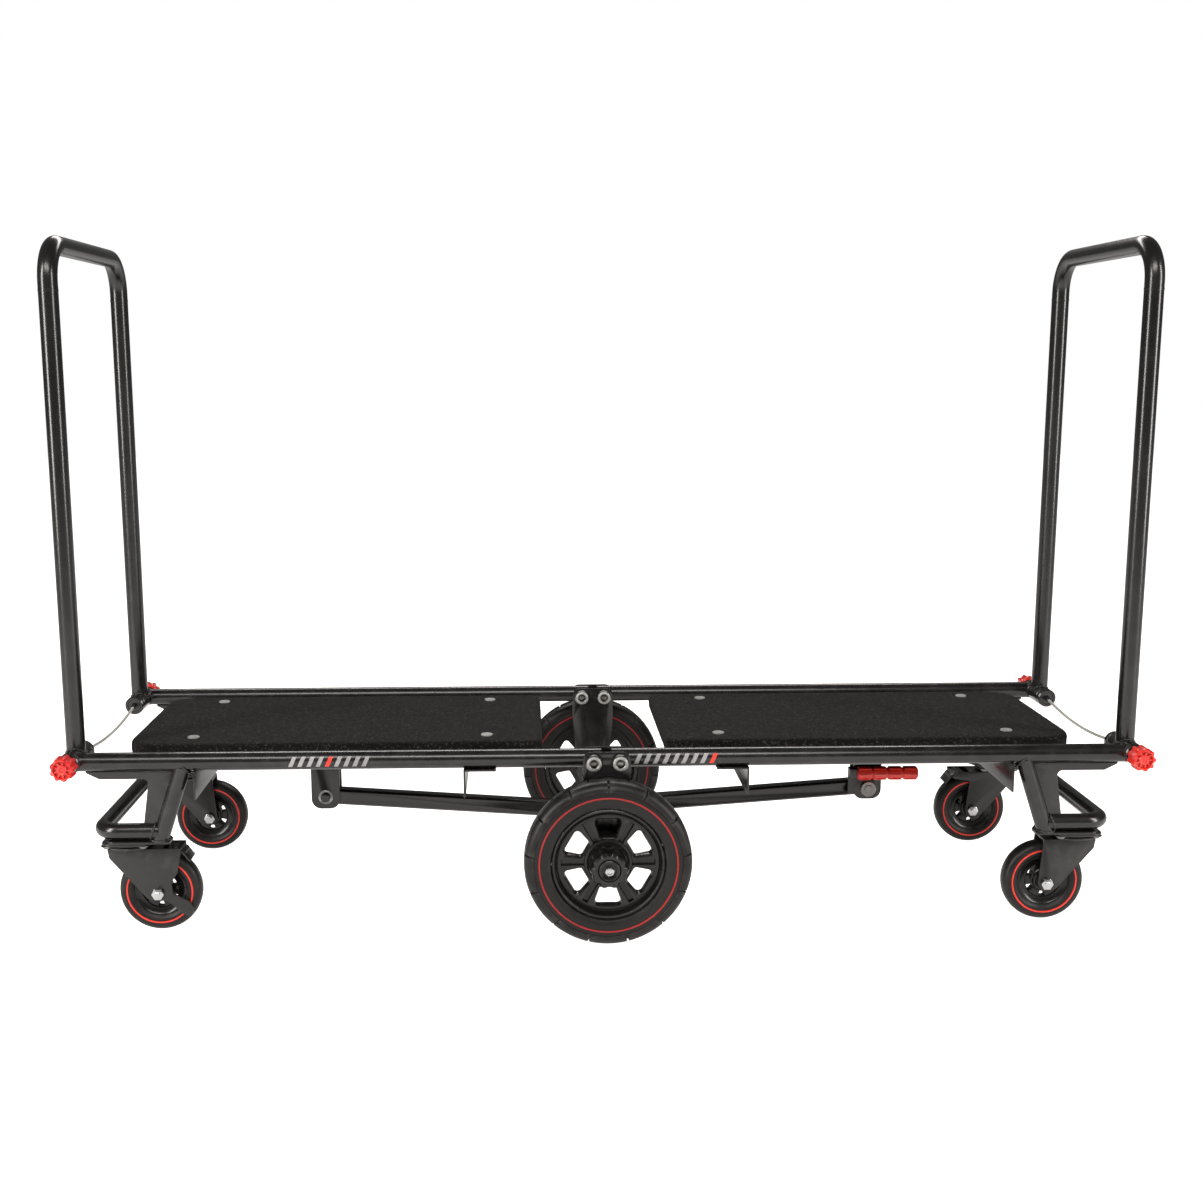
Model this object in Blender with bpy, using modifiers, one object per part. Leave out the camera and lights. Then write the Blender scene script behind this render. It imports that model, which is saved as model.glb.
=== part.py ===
"""Convertible hand truck: a folding platform cart on two large centre wheels and four swivel casters.

The frame is two halves of round tube joined at a pair of centre plates. The left half is braced for good
by its strut, and the right half folds up about the centre bolts once its strut is let go. Each end carries
a U-shaped handle that swings on toothed hinges, released by a cable across the end.

Metres, +Z up. X runs along the cart, Y across it, and Z = 0 is the floor. Left is -X, near is -Y.
"""

import math

import bmesh
import bpy
from mathutils import Matrix, Vector

OBJECT_NAME = "convertible_hand_truck"
GAP = 0.0003  # clearance between separate pieces

# Frame tubes
TUBE_R = 0.0143  # 28.6 mm rail and handle tube
SMALL_TUBE_R = 0.0127  # 25.4 mm caster leg and bumper tube
RAIL_Y = 0.230
RAIL_Z = 0.275
RAIL_INNER_X = 0.0072
END_X = 0.810  # handle hinge axis
HANDLE_LEG_Y = 0.199
HANDLE_TOP_Z = 1.039
HANDLE_BEND_R = 0.055

# End hinges
KNUCKLE_R = 0.016
FIXED_KNUCKLE_HALF = 0.015
HANDLE_KNUCKLE_INNER_Y = 0.155
PIN_R = 0.006
BORE_R = PIN_R + GAP
KNOB_BOSS_R = 0.0125
KNOB_BOSS_DEPTH = 0.0085
KNOB_TRAVEL = 0.007
KNOB_LENGTH = 0.028
KNOB_R = 0.0195
KNOB_LOBES = 9
CABLE_R = 0.0025
CABLE_SAG = 0.012

# Centre
PIVOT_X = 0.020
PIVOT_Z = 0.272
PLATE_T = 0.005
PLATE_TOP_HALF = 0.036
PLATE_FOOT_HALF = 0.024
PLATE_TOP_Z = 0.2876
PLATE_FOOT_Z = 0.103
BOLT_HEAD_R = 0.013
BOLT_HEAD_LENGTH = 0.012
BOLT_NUT_R = 0.0125
BOLT_NUT_LENGTH = 0.010

# Centre wheels
WHEEL_R = 0.127  # 10 inch wheel
WHEEL_Y = 0.279
TYRE_INNER_R = 0.086
AXLE_R = 0.0095
AXLE_NUT_R = 0.007
AXLE_SHOULDER_Y = 0.300
AXLE_END_Y = 0.3315
WHEEL_STEPS = 32  # the same on tyre and rim, so that they fit
HUB_CAP_R = 0.0295
HUB_CAP_OUT = 0.050
WINDOWS = 6

# Decks
DECK_INNER_X = 0.096
DECK_OUTER_X = 0.744
DECK_HALF_Y = 0.172
DECK_BOTTOM_Z = 0.262
DECK_T = 0.025
DECK_INNER_CORNER = 0.020
DECK_OUTER_CORNER = 0.050

# Cross-members: folded steel angle, web down and flange under the deck
WEB_T = 0.003
WEB_BOTTOM_Z = 0.217
INNER_WEB_X = 0.2145
INNER_FLANGE_X = 0.168
OUTER_WEB_X = 0.622
OUTER_FLANGE_X = 0.668
MEMBER_HALF_Y = 0.243
OUTER_FLANGE_HALF_Y = 0.200
RAIL_UNDERSIDE_Z = RAIL_Z - TUBE_R - GAP

# Caster towers and bumper loops
LEG_TOP = (0.646, 0.2562)
LEG_FOOT = (0.681, 0.1560)
GUSSET_T = 0.004
BASE_PLATE_CORNERS = [  # X, distance from the middle, corner radius
    (0.664, 0.2425, 0),
    (0.664, 0.218, 0),
    (0.698, 0.156, 0),
    (0.760, 0.156, 0.010),
    (0.760, 0.2425, 0.010),
]
BASE_PLATE_Z = 0.150
BASE_PLATE_T = 0.0044
BUMPER_X = 0.773
BUMPER_Z = 0.1655
BUMPER_BEND_R = 0.030
BUMPER_ARM_X = 0.6975

# Casters
CASTER_Y = 0.199
SWIVEL_X = 0.735
CASTER_TRAIL = 0.045
CASTER_R = 0.0635  # 5 inch wheel
CASTER_HALF_W = 0.0155
CASTER_AXLE_R = 0.004
CASTER_PLATE_TOP_Z = 0.1475
CASTER_PLATE_T = 0.0045
CASTER_PLATE_HALF_X = 0.037
CASTER_PLATE_HALF_Y = 0.0405
CASTER_PLATE_CORNER = 0.018
RACE_R = 0.0355
FORK_TOP_Z = 0.1340
FORK_T = 0.0035
FORK_HALF_W = 0.0225
BRAKE_PIVOT = (0.660, 0.1285)
BRAKED = {("left", "near"), ("right", "far")}
# Inboard edges of a braked caster's cheeks: the outer one carries the brake's arm, the inner one an ear
BRAKE_CHEEK_CORNERS = [
    (0.677, 0.0505, 0.008),
    (0.653, 0.0285, 0),
    (0.6405, 0.0245, 0.003),
    (0.6375, 0.0360, 0),
    (0.6420, 0.0485, 0.003),
    (0.6680, 0.0620, 0.006),
    (0.6700, 0.0800, 0.006),
    (0.6600, 0.0950, 0.006),
    (0.6530, 0.1340, 0),
]
BRAKE_EAR_CORNERS = [
    (0.677, 0.0515, 0.012),
    (0.684, 0.1180, 0.003),
    (0.654, 0.1220, 0.003),
    (0.654, 0.1340, 0),
]

# Struts and the latch
STRUT_SIZE = 0.0254
STRUT_Y = 0.0135
STRUT_END_X = 0.4544
STRUT_END_Z = 0.159
STRUT_EYE_R = 0.0165
LATCH_SHAFT_R = 0.008
CHEEK_T = 0.004
BRACKET_INNER_X = 0.431
BRACKET_OUTER_X = 0.478
BRACKET_BOTTOM_Z = 0.139
LATCH_BOSS_R = 0.016
GRIP_R = 0.0115
GRIP_Z = 0.1875
GRIP_Y = -0.0165
GRIP_X = (0.4330, 0.5350)
RELEASE_ANGLE = math.radians(42)  # way the strut's mouth faces, measured up from outward

SIDES = {"left": -1, "right": 1}
FACES = {"near": -1, "far": 1}
BRAKE_CHEEK_EDGE = {s: [(s * x, z, r) for x, z, r in BRAKE_CHEEK_CORNERS] for s in SIDES.values()}
BRAKE_EAR_EDGE = {s: [(s * x, z, r) for x, z, r in BRAKE_EAR_CORNERS] for s in SIDES.values()}


# ---------------------------------------------------------------- scene and materials


def clear_scene():
    for obj in list(bpy.data.objects):
        bpy.data.objects.remove(obj, do_unlink=True)


def new_collection(name):
    collection = bpy.data.collections.new(name)
    bpy.context.scene.collection.children.link(collection)
    return collection


def make_material(name, colour, roughness, metallic):
    material = bpy.data.materials.new(name)
    material.use_nodes = True
    shader = material.node_tree.nodes["Principled BSDF"]
    shader.inputs["Base Color"].default_value = (*colour, 1.0)
    shader.inputs["Roughness"].default_value = roughness
    shader.inputs["Metallic"].default_value = metallic
    material.diffuse_color = (*colour, 1.0)
    return material


# ---------------------------------------------------------------- shapes


def add_mesh(name, shape):
    """An object holding a finished bmesh."""
    mesh = bpy.data.meshes.new(name)
    shape.to_mesh(mesh)
    shape.free()
    obj = bpy.data.objects.new(name, mesh)
    CUTTERS.objects.link(obj)
    obj.hide_render = True
    obj.display_type = "WIRE"
    return obj


def block(name, low, high):
    shape = bmesh.new()
    bmesh.ops.create_cube(shape, size=1.0)
    size = [b - a for a, b in zip(low, high)]
    centre = [(a + b) / 2 for a, b in zip(low, high)]
    bmesh.ops.transform(
        shape, matrix=Matrix.Translation(centre) @ Matrix.Diagonal((*size, 1.0)), verts=shape.verts
    )
    return add_mesh(name, shape)


def rod(name, start, end, radius, sides=14):
    """A round bar between two points."""
    start, end = Vector(start), Vector(end)
    turn = Vector((0, 0, 1)).rotation_difference(end - start).to_matrix().to_4x4()
    shape = bmesh.new()
    bmesh.ops.create_cone(
        shape,
        cap_ends=True,
        segments=sides,
        radius1=radius,
        radius2=radius,
        depth=(end - start).length,
        matrix=Matrix.Translation((start + end) / 2) @ turn,
    )
    obj = add_mesh(name, shape)
    smooth(obj)
    return obj


def smooth(obj, angle=35):
    obj.data.shade_smooth()
    obj.data.set_sharp_from_angle(angle=math.radians(angle))


def turned(name, profile, centre, steps, closed=False, flip=False):
    """A profile of (radius, distance) points turned about a line through centre along Y.

    The profile runs down the outside, from the highest distance to the lowest. A closed profile is a ring.
    flip mirrors it, so that distance grows towards -Y.
    """
    shape = bmesh.new()
    points = [shape.verts.new((radius, 0, distance)) for radius, distance in profile]
    pairs = list(zip(points, points[1:]))
    if closed:
        pairs.append((points[-1], points[0]))
    for a, b in pairs:
        shape.edges.new((a, b))
    obj = add_mesh(name, shape)
    screw = obj.modifiers.new("Turn", "SCREW")
    screw.steps = screw.render_steps = steps
    screw.use_merge_vertices = True
    screw.merge_threshold = 0.0001
    screw.use_smooth_shade = True
    obj.location = centre
    obj.rotation_euler = (math.radians(90 if flip else -90), 0, 0)
    return obj


def rounded_outline(corners, steps=5):
    """Points of a closed outline whose corners are (x, y, radius)."""
    points = []
    count = len(corners)
    for index, (x, y, radius) in enumerate(corners):
        corner = Vector((x, y))
        if radius == 0:
            points.append(corner)
            continue
        before = (Vector(corners[index - 1][:2]) - corner).normalized()
        after = (Vector(corners[(index + 1) % count][:2]) - corner).normalized()
        half = before.angle(after) / 2
        centre = corner + (before + after).normalized() * (radius / math.sin(half))
        start = corner + before * (radius / math.tan(half)) - centre
        sweep = start.angle_signed(corner + after * (radius / math.tan(half)) - centre)
        for step in range(steps + 1):
            angle = -sweep * step / steps
            points.append(centre + Matrix.Rotation(angle, 2) @ start)
    return points


def mesh_from_curve(obj):
    """A closed mesh object in world space in place of a curve object."""
    bpy.context.scene.collection.objects.link(obj)
    bpy.context.view_layer.update()
    graph = bpy.context.evaluated_depsgraph_get()
    mesh = bpy.data.meshes.new_from_object(obj.evaluated_get(graph))
    shape = bmesh.new()
    shape.from_mesh(mesh)
    bmesh.ops.remove_doubles(shape, verts=shape.verts, dist=1e-6)
    bmesh.ops.transform(shape, matrix=obj.matrix_world, verts=shape.verts)
    bmesh.ops.recalc_face_normals(shape, faces=shape.faces)
    name = obj.name
    bpy.data.objects.remove(obj, do_unlink=True)
    bpy.data.meshes.remove(mesh)
    return add_mesh(name, shape)


PLANES = {
    "XY": (0, 0, 0),
    "XZ": (math.radians(90), 0, 0),
    "YZ": (math.radians(90), 0, math.radians(90)),
}


def plate(name, corners, plane, middle, thickness, steps=5):
    """A flat plate cut to an outline in one of PLANES, with its middle layer at the distance given."""
    curve = bpy.data.curves.new(name, "CURVE")
    curve.dimensions = "2D"
    curve.fill_mode = "BOTH"
    curve.extrude = thickness / 2
    points = rounded_outline(corners, steps)
    spline = curve.splines.new("POLY")
    spline.points.add(len(points) - 1)
    for place, point in zip(spline.points, points):
        place.co = (point.x, point.y, 0, 1)
    spline.use_cyclic_u = True
    obj = bpy.data.objects.new(name, curve)
    obj.rotation_euler = PLANES[plane]
    obj.location = {"XY": (0, 0, middle), "XZ": (0, middle, 0), "YZ": (middle, 0, 0)}[plane]
    return mesh_from_curve(obj)


def bent_path(corners, radius, steps):
    """Points through the corners of a path, with an arc of the given radius at each inner corner."""
    corners = [Vector(corner) for corner in corners]
    points = [corners[0]]
    for before, corner, after in zip(corners, corners[1:], corners[2:]):
        back, ahead = (before - corner).normalized(), (after - corner).normalized()
        half = back.angle(ahead) / 2
        centre = corner + (back + ahead).normalized() * (radius / math.sin(half))
        start = corner + back * (radius / math.tan(half)) - centre
        axis = back.cross(ahead)
        sweep = math.pi - 2 * half
        for step in range(steps + 1):
            points.append(centre + Matrix.Rotation(-sweep * step / steps, 3, axis) @ start)
    points.append(corners[-1])
    return points


def tube(name, points, radius, bevel_resolution=4):
    curve = bpy.data.curves.new(name, "CURVE")
    curve.dimensions = "3D"
    curve.bevel_depth = radius
    curve.bevel_resolution = bevel_resolution
    curve.use_fill_caps = True
    spline = curve.splines.new("POLY")
    spline.points.add(len(points) - 1)
    for place, point in zip(spline.points, points):
        place.co = (*point, 1)
    obj = mesh_from_curve(bpy.data.objects.new(name, curve))
    smooth(obj)
    return obj


def combine(obj, operation, others):
    for other in others:
        modifier = obj.modifiers.new(f"{operation.title()} {other.name}", "BOOLEAN")
        modifier.operation = operation
        modifier.object = other
        modifier.solver = "EXACT"
    return obj


def join(obj, *others):
    return combine(obj, "UNION", others)


def cut(obj, *cutters):
    return combine(obj, "DIFFERENCE", cutters)


def rounded(obj, width, segments=1):
    bevel = obj.modifiers.new("Rounded edges", "BEVEL")
    bevel.width = width
    bevel.segments = segments
    bevel.limit_method = "ANGLE"
    return obj


def finish(obj, name, material, empty=None):
    """Make a shape one of the object's parts, hung on its joint's empty if it moves."""
    CUTTERS.objects.unlink(obj)
    PARTS.objects.link(obj)
    obj.name = name
    obj.hide_render = False
    obj.display_type = "TEXTURED"
    obj.data.materials.clear()
    obj.data.materials.append(material)
    if empty is not None:
        obj.parent = empty
        obj.matrix_parent_inverse = Matrix.Translation(empty.location).inverted()
    return obj


def joint_empty(name, location, parent=None):
    empty = bpy.data.objects.new(name, None)
    empty.location = location
    empty.empty_display_size = 0.03
    PARTS.objects.link(empty)
    if parent is not None:
        empty.parent = parent
        empty.matrix_parent_inverse = Matrix.Translation(joint_place(parent)).inverted()
    return empty


def joint_place(empty):
    """Where an empty stands in the world, from the places it was given."""
    return Vector(empty.location)


# ---------------------------------------------------------------- frame halves


def make_rail(side, face, hung):
    s, f = SIDES[side], FACES[face]
    y = f * RAIL_Y
    rail = rod("rail tube", (s * RAIL_INNER_X, y, RAIL_Z), (s * (END_X - 0.006), y, RAIL_Z), TUBE_R, 18)
    inner, outer = y - f * FIXED_KNUCKLE_HALF, y + f * FIXED_KNUCKLE_HALF
    knuckle = rod("knuckle", (s * END_X, inner, RAIL_Z), (s * END_X, outer, RAIL_Z), KNUCKLE_R, 18)
    bore = rod("pin bore", (s * END_X, inner - f * 0.01, RAIL_Z), (s * END_X, outer + f * 0.01, RAIL_Z), BORE_R)
    recess_floor = outer - f * KNOB_BOSS_DEPTH
    recess = rod(
        "boss recess", (s * END_X, recess_floor, RAIL_Z), (s * END_X, outer + f * 0.01, RAIL_Z), KNOB_BOSS_R + GAP, 18
    )
    bolt_bore = rod("bolt bore", (s * PIVOT_X, y - 0.03, PIVOT_Z), (s * PIVOT_X, y + 0.03, PIVOT_Z), BORE_R)
    join(rail, knuckle)
    cut(rail, bore, recess, bolt_bore)
    return finish(rail, f"{side}_rail_{face}", FRAME_PAINT, hung)


def make_cross_member(side, place, web_x, flange_x, flange_half_y, hung):
    """An angle across the half: a web hanging below the rails and a flange that the deck is screwed to."""
    s = SIDES[side]
    web_low, web_high = sorted((s * web_x, s * (web_x + WEB_T)))
    flange_low, flange_high = sorted((s * (web_x + WEB_T / 2), s * flange_x))
    web = block(
        "web", (web_low, -MEMBER_HALF_Y, WEB_BOTTOM_Z), (web_high, MEMBER_HALF_Y, RAIL_UNDERSIDE_Z)
    )
    flange = block(
        "flange",
        (flange_low, -flange_half_y, RAIL_UNDERSIDE_Z - WEB_T),
        (flange_high, flange_half_y, RAIL_UNDERSIDE_Z),
    )
    join(web, flange)
    return finish(web, f"{side}_crossmember_{place}", FRAME_PAINT, hung)


def make_deck(side, hung):
    """A carpeted board between the rails, with large round corners at its outer end."""
    s = SIDES[side]
    inner, outer = s * DECK_INNER_X, s * DECK_OUTER_X
    corners = [
        (inner, -DECK_HALF_Y, DECK_INNER_CORNER),
        (outer, -DECK_HALF_Y, DECK_OUTER_CORNER),
        (outer, DECK_HALF_Y, DECK_OUTER_CORNER),
        (inner, DECK_HALF_Y, DECK_INNER_CORNER),
    ]
    board = plate("board", corners, "XY", DECK_BOTTOM_Z + DECK_T / 2, DECK_T, steps=6)
    rounded(board, 0.005)
    return finish(board, f"{side}_deck", CARPET, hung)


def make_tower(side, face, hung):
    """The welded bracket that carries a caster: leaning leg tube, gusset under the rail and base plate."""
    s, f = SIDES[side], FACES[face]
    y = f * RAIL_Y
    leg = rod("leg", (s * LEG_TOP[0], y, LEG_TOP[1]), (s * LEG_FOOT[0], y, LEG_FOOT[1]), SMALL_TUBE_R)
    strip_bottom = 0.2480
    gusset = plate(
        "gusset",
        [
            (s * 0.648, RAIL_UNDERSIDE_Z, 0),
            (s * 0.788, RAIL_UNDERSIDE_Z, 0),
            (s * 0.788, 0.2580, 0),
            (s * 0.768, strip_bottom, 0),
            (s * 0.694, strip_bottom, 0.008),
            (s * 0.7085, 0.1500, 0),
            (s * 0.685, 0.1500, 0),
        ],
        "XZ",
        y,
        GUSSET_T,
    )
    corners = [(s * x, f * across, radius) for x, across, radius in BASE_PLATE_CORNERS]
    base = plate("base", corners, "XY", BASE_PLATE_Z, BASE_PLATE_T)
    join(leg, gusset, base)
    return finish(leg, f"{side}_caster_tower_{face}", FRAME_PAINT, hung)


def make_bumper(side, hung):
    """A U of tube from one caster tower round the end of the cart to the other."""
    s = SIDES[side]
    corners = [
        (s * BUMPER_ARM_X, -RAIL_Y, BUMPER_Z),
        (s * BUMPER_X, -RAIL_Y, BUMPER_Z),
        (s * BUMPER_X, RAIL_Y, BUMPER_Z),
        (s * BUMPER_ARM_X, RAIL_Y, BUMPER_Z),
    ]
    loop = tube("loop", bent_path(corners, BUMPER_BEND_R, 4), SMALL_TUBE_R)
    slots = []
    for f in FACES.values():
        # The arm's end straddles the upright gusset plate.
        low = (min(s * 0.690, s * 0.7095), f * RAIL_Y - GUSSET_T / 2 - GAP, 0.150)
        high = (max(s * 0.690, s * 0.7095), f * RAIL_Y + GUSSET_T / 2 + GAP, 0.182)
        slots.append(block("gusset slot", low, high))
    cut(loop, *slots)
    return finish(loop, f"{side}_bumper_loop", FRAME_PAINT, hung)


def make_half(side, hung):
    for face in FACES:
        make_rail(side, face, hung)
        make_tower(side, face, hung)
    make_cross_member(side, "inner", INNER_WEB_X, INNER_FLANGE_X, MEMBER_HALF_Y, hung)
    make_cross_member(side, "outer", OUTER_WEB_X, OUTER_FLANGE_X, OUTER_FLANGE_HALF_Y, hung)
    make_deck(side, hung)
    make_bumper(side, hung)


# ---------------------------------------------------------------- handles


def make_handle(side, empty):
    """A U of tube welded to two hinge barrels."""
    s = SIDES[side]
    x = s * END_X
    corners = [
        (x, -HANDLE_LEG_Y, RAIL_Z),
        (x, -HANDLE_LEG_Y, HANDLE_TOP_Z),
        (x, HANDLE_LEG_Y, HANDLE_TOP_Z),
        (x, HANDLE_LEG_Y, RAIL_Z),
    ]
    handle = tube("handle", bent_path(corners, HANDLE_BEND_R, 5), TUBE_R)
    barrel_outer = RAIL_Y - FIXED_KNUCKLE_HALF - GAP
    for f in FACES.values():
        barrel = rod("barrel", (x, f * HANDLE_KNUCKLE_INNER_Y, RAIL_Z), (x, f * barrel_outer, RAIL_Z), KNUCKLE_R, 18)
        join(handle, barrel)
    for f in FACES.values():
        bore = rod(
            "barrel bore", (x, f * (HANDLE_KNUCKLE_INNER_Y - 0.01), RAIL_Z), (x, f * (barrel_outer + 0.01), RAIL_Z), BORE_R
        )
        cut(handle, bore)
    return finish(handle, f"{side}_handle", FRAME_PAINT, empty)


def make_knob(side, face, handle_empty):
    """The star-shaped button and the toothed pin that locks a hinge."""
    s, f = SIDES[side], FACES[face]
    x = s * END_X
    knuckle_face = f * (RAIL_Y + FIXED_KNUCKLE_HALF)
    star_inner = knuckle_face + f * (KNOB_TRAVEL + 0.0008)
    star_outer = star_inner + f * KNOB_LENGTH
    outline = []
    for lobe in range(2 * KNOB_LOBES):
        angle = math.pi * lobe / KNOB_LOBES
        radius = KNOB_R if lobe % 2 == 0 else KNOB_R - 0.003
        outline.append((x + radius * math.cos(angle), RAIL_Z + radius * math.sin(angle), 0))
    star = plate("star", outline, "XZ", (star_inner + star_outer) / 2, KNOB_LENGTH)
    boss = rod(
        "boss", (x, knuckle_face - f * (GAP + 0.0003), RAIL_Z), (x, star_inner + f * 0.002, RAIL_Z), KNOB_BOSS_R, 18
    )
    pin = rod("pin", (x, f * 0.170, RAIL_Z), (x, star_inner + f * 0.004, RAIL_Z), PIN_R, 12)
    join(star, boss, pin)
    empty = joint_empty(f"{side}_knob_{face}_slide", (x, knuckle_face, RAIL_Z), handle_empty)
    return finish(star, f"{side}_release_knob_{face}", RED_PLASTIC, empty)


def make_cable(side, empty):
    """The release cable that hangs between the inner ends of the two hinge barrels."""
    x = SIDES[side] * END_X
    end = HANDLE_KNUCKLE_INNER_Y - 0.0005
    count = 12
    points = []
    for index in range(count + 1):
        along = 2 * index / count - 1
        points.append((x, end * along, RAIL_Z - CABLE_SAG * (1 - along * along)))
    cable = tube("cable", points, CABLE_R, 2)
    return finish(cable, f"{side}_release_cable", CABLE_SHEATH, empty)


# ---------------------------------------------------------------- centre


def make_centre_plate(face, layer):
    """One of the two plates that hold the rail ends and the axle on one side."""
    f = FACES[face]
    rail_gap = TUBE_R + GAP
    middle = RAIL_Y + (rail_gap + PLATE_T / 2) * (1 if layer == "outer" else -1)
    corners = [
        (-PLATE_FOOT_HALF, PLATE_FOOT_Z, 0.018),
        (PLATE_FOOT_HALF, PLATE_FOOT_Z, 0.018),
        (PLATE_TOP_HALF, 0.230, 0),
        (PLATE_TOP_HALF, PLATE_TOP_Z, 0.012),
        (-PLATE_TOP_HALF, PLATE_TOP_Z, 0.012),
        (-PLATE_TOP_HALF, 0.230, 0),
    ]
    body = plate("centre plate", corners, "XZ", f * middle, PLATE_T)
    low, high = f * middle - 0.01, f * middle + 0.01
    bores = [rod("axle bore", (0, low, WHEEL_R), (0, high, WHEEL_R), AXLE_R + GAP)]
    for s in SIDES.values():
        bores.append(rod("bolt bore", (s * PIVOT_X, low, PIVOT_Z), (s * PIVOT_X, high, PIVOT_Z), BORE_R))
    cut(body, *bores)
    return finish(body, f"centre_plate_{layer}_{face}", FRAME_PAINT)


def make_pivot_bolt(side, face):
    """A headed bolt through both plates and the rail end, with its nut on the inside."""
    s, f = SIDES[side], FACES[face]
    head_face = TUBE_R + PLATE_T + 2 * GAP
    profile = [
        (0.0, head_face + BOLT_HEAD_LENGTH),
        (BOLT_HEAD_R - 0.002, head_face + BOLT_HEAD_LENGTH),
        (BOLT_HEAD_R, head_face + BOLT_HEAD_LENGTH - 0.002),
        (BOLT_HEAD_R, head_face),
        (PIN_R, head_face),
        (PIN_R, -head_face),
        (BOLT_NUT_R, -head_face),
        (BOLT_NUT_R, -head_face - BOLT_NUT_LENGTH),
        (0.0, -head_face - BOLT_NUT_LENGTH),
    ]
    bolt = turned("bolt", profile, (s * PIVOT_X, f * RAIL_Y, PIVOT_Z), 12, flip=f < 0)
    return finish(bolt, f"pivot_bolt_{side}_{face}", BLACK_STEEL)


def make_axle():
    profile = [
        (0.0, AXLE_END_Y),
        (AXLE_NUT_R, AXLE_END_Y),
        (AXLE_NUT_R, AXLE_SHOULDER_Y),
        (AXLE_R, AXLE_SHOULDER_Y),
        (AXLE_R, -AXLE_SHOULDER_Y),
        (AXLE_NUT_R, -AXLE_SHOULDER_Y),
        (AXLE_NUT_R, -AXLE_END_Y),
        (0.0, -AXLE_END_Y),
    ]
    axle = turned("axle", profile, (0, 0, WHEEL_R), 16)
    return finish(axle, "axle", BARE_STEEL)


def make_tyre(face, empty):
    f = FACES[face]
    profile = [
        (TYRE_INNER_R, 0.019),
        (0.092, 0.0235),
        (0.104, 0.025),
        (0.118, 0.0235),
        (WHEEL_R, 0.0165),
        (WHEEL_R, -0.0165),
        (0.118, -0.0235),
        (0.104, -0.025),
        (0.092, -0.0235),
        (TYRE_INNER_R, -0.019),
    ]
    tyre = turned("tyre", profile, (0, f * WHEEL_Y, WHEEL_R), WHEEL_STEPS, closed=True, flip=f < 0)
    return finish(tyre, f"wheel_tyre_{face}", TYRE_RUBBER, empty)


def make_rim(face, empty):
    """The moulded wheel centre: bead seat, web with six windows, hub and the cap over the axle nut."""
    f = FACES[face]
    bead_r = TYRE_INNER_R - GAP
    bore_r = AXLE_R + GAP
    nut_r = AXLE_NUT_R + GAP
    shoulder = AXLE_SHOULDER_Y + GAP - WHEEL_Y
    profile = [
        (nut_r, HUB_CAP_OUT),
        (HUB_CAP_R - 0.003, HUB_CAP_OUT),
        (HUB_CAP_R, HUB_CAP_OUT - 0.003),
        (HUB_CAP_R, 0.012),
        (0.078, 0.008),
        (0.080, 0.0185),
        (bead_r, 0.0185),
        (bead_r, -0.0185),
        (0.080, -0.0185),
        (0.078, -0.006),
        (0.030, -0.006),
        (0.028, -0.024),
        (bore_r, -0.024),
        (bore_r, shoulder),
        (nut_r, shoulder),
    ]
    rim = turned("rim", profile, (0, f * WHEEL_Y, WHEEL_R), WHEEL_STEPS, closed=True, flip=f < 0)
    windows = []
    for index in range(WINDOWS):
        angle = 2 * math.pi * index / WINDOWS + math.pi / 2
        out = Vector((math.cos(angle), math.sin(angle)))
        across = Vector((-out.y, out.x))
        corners = []
        for radius, half in ((0.037, 0.0095), (0.037, -0.0095), (0.070, -0.023), (0.070, 0.023)):
            point = out * radius + across * half
            corners.append((point.x, WHEEL_R + point.y, 0))
        windows.append(plate("window", corners, "XZ", f * WHEEL_Y, 0.060))
    cut(rim, *windows)
    return finish(rim, f"wheel_rim_{face}", WHEEL_PLASTIC, empty)


# ---------------------------------------------------------------- casters


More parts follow.
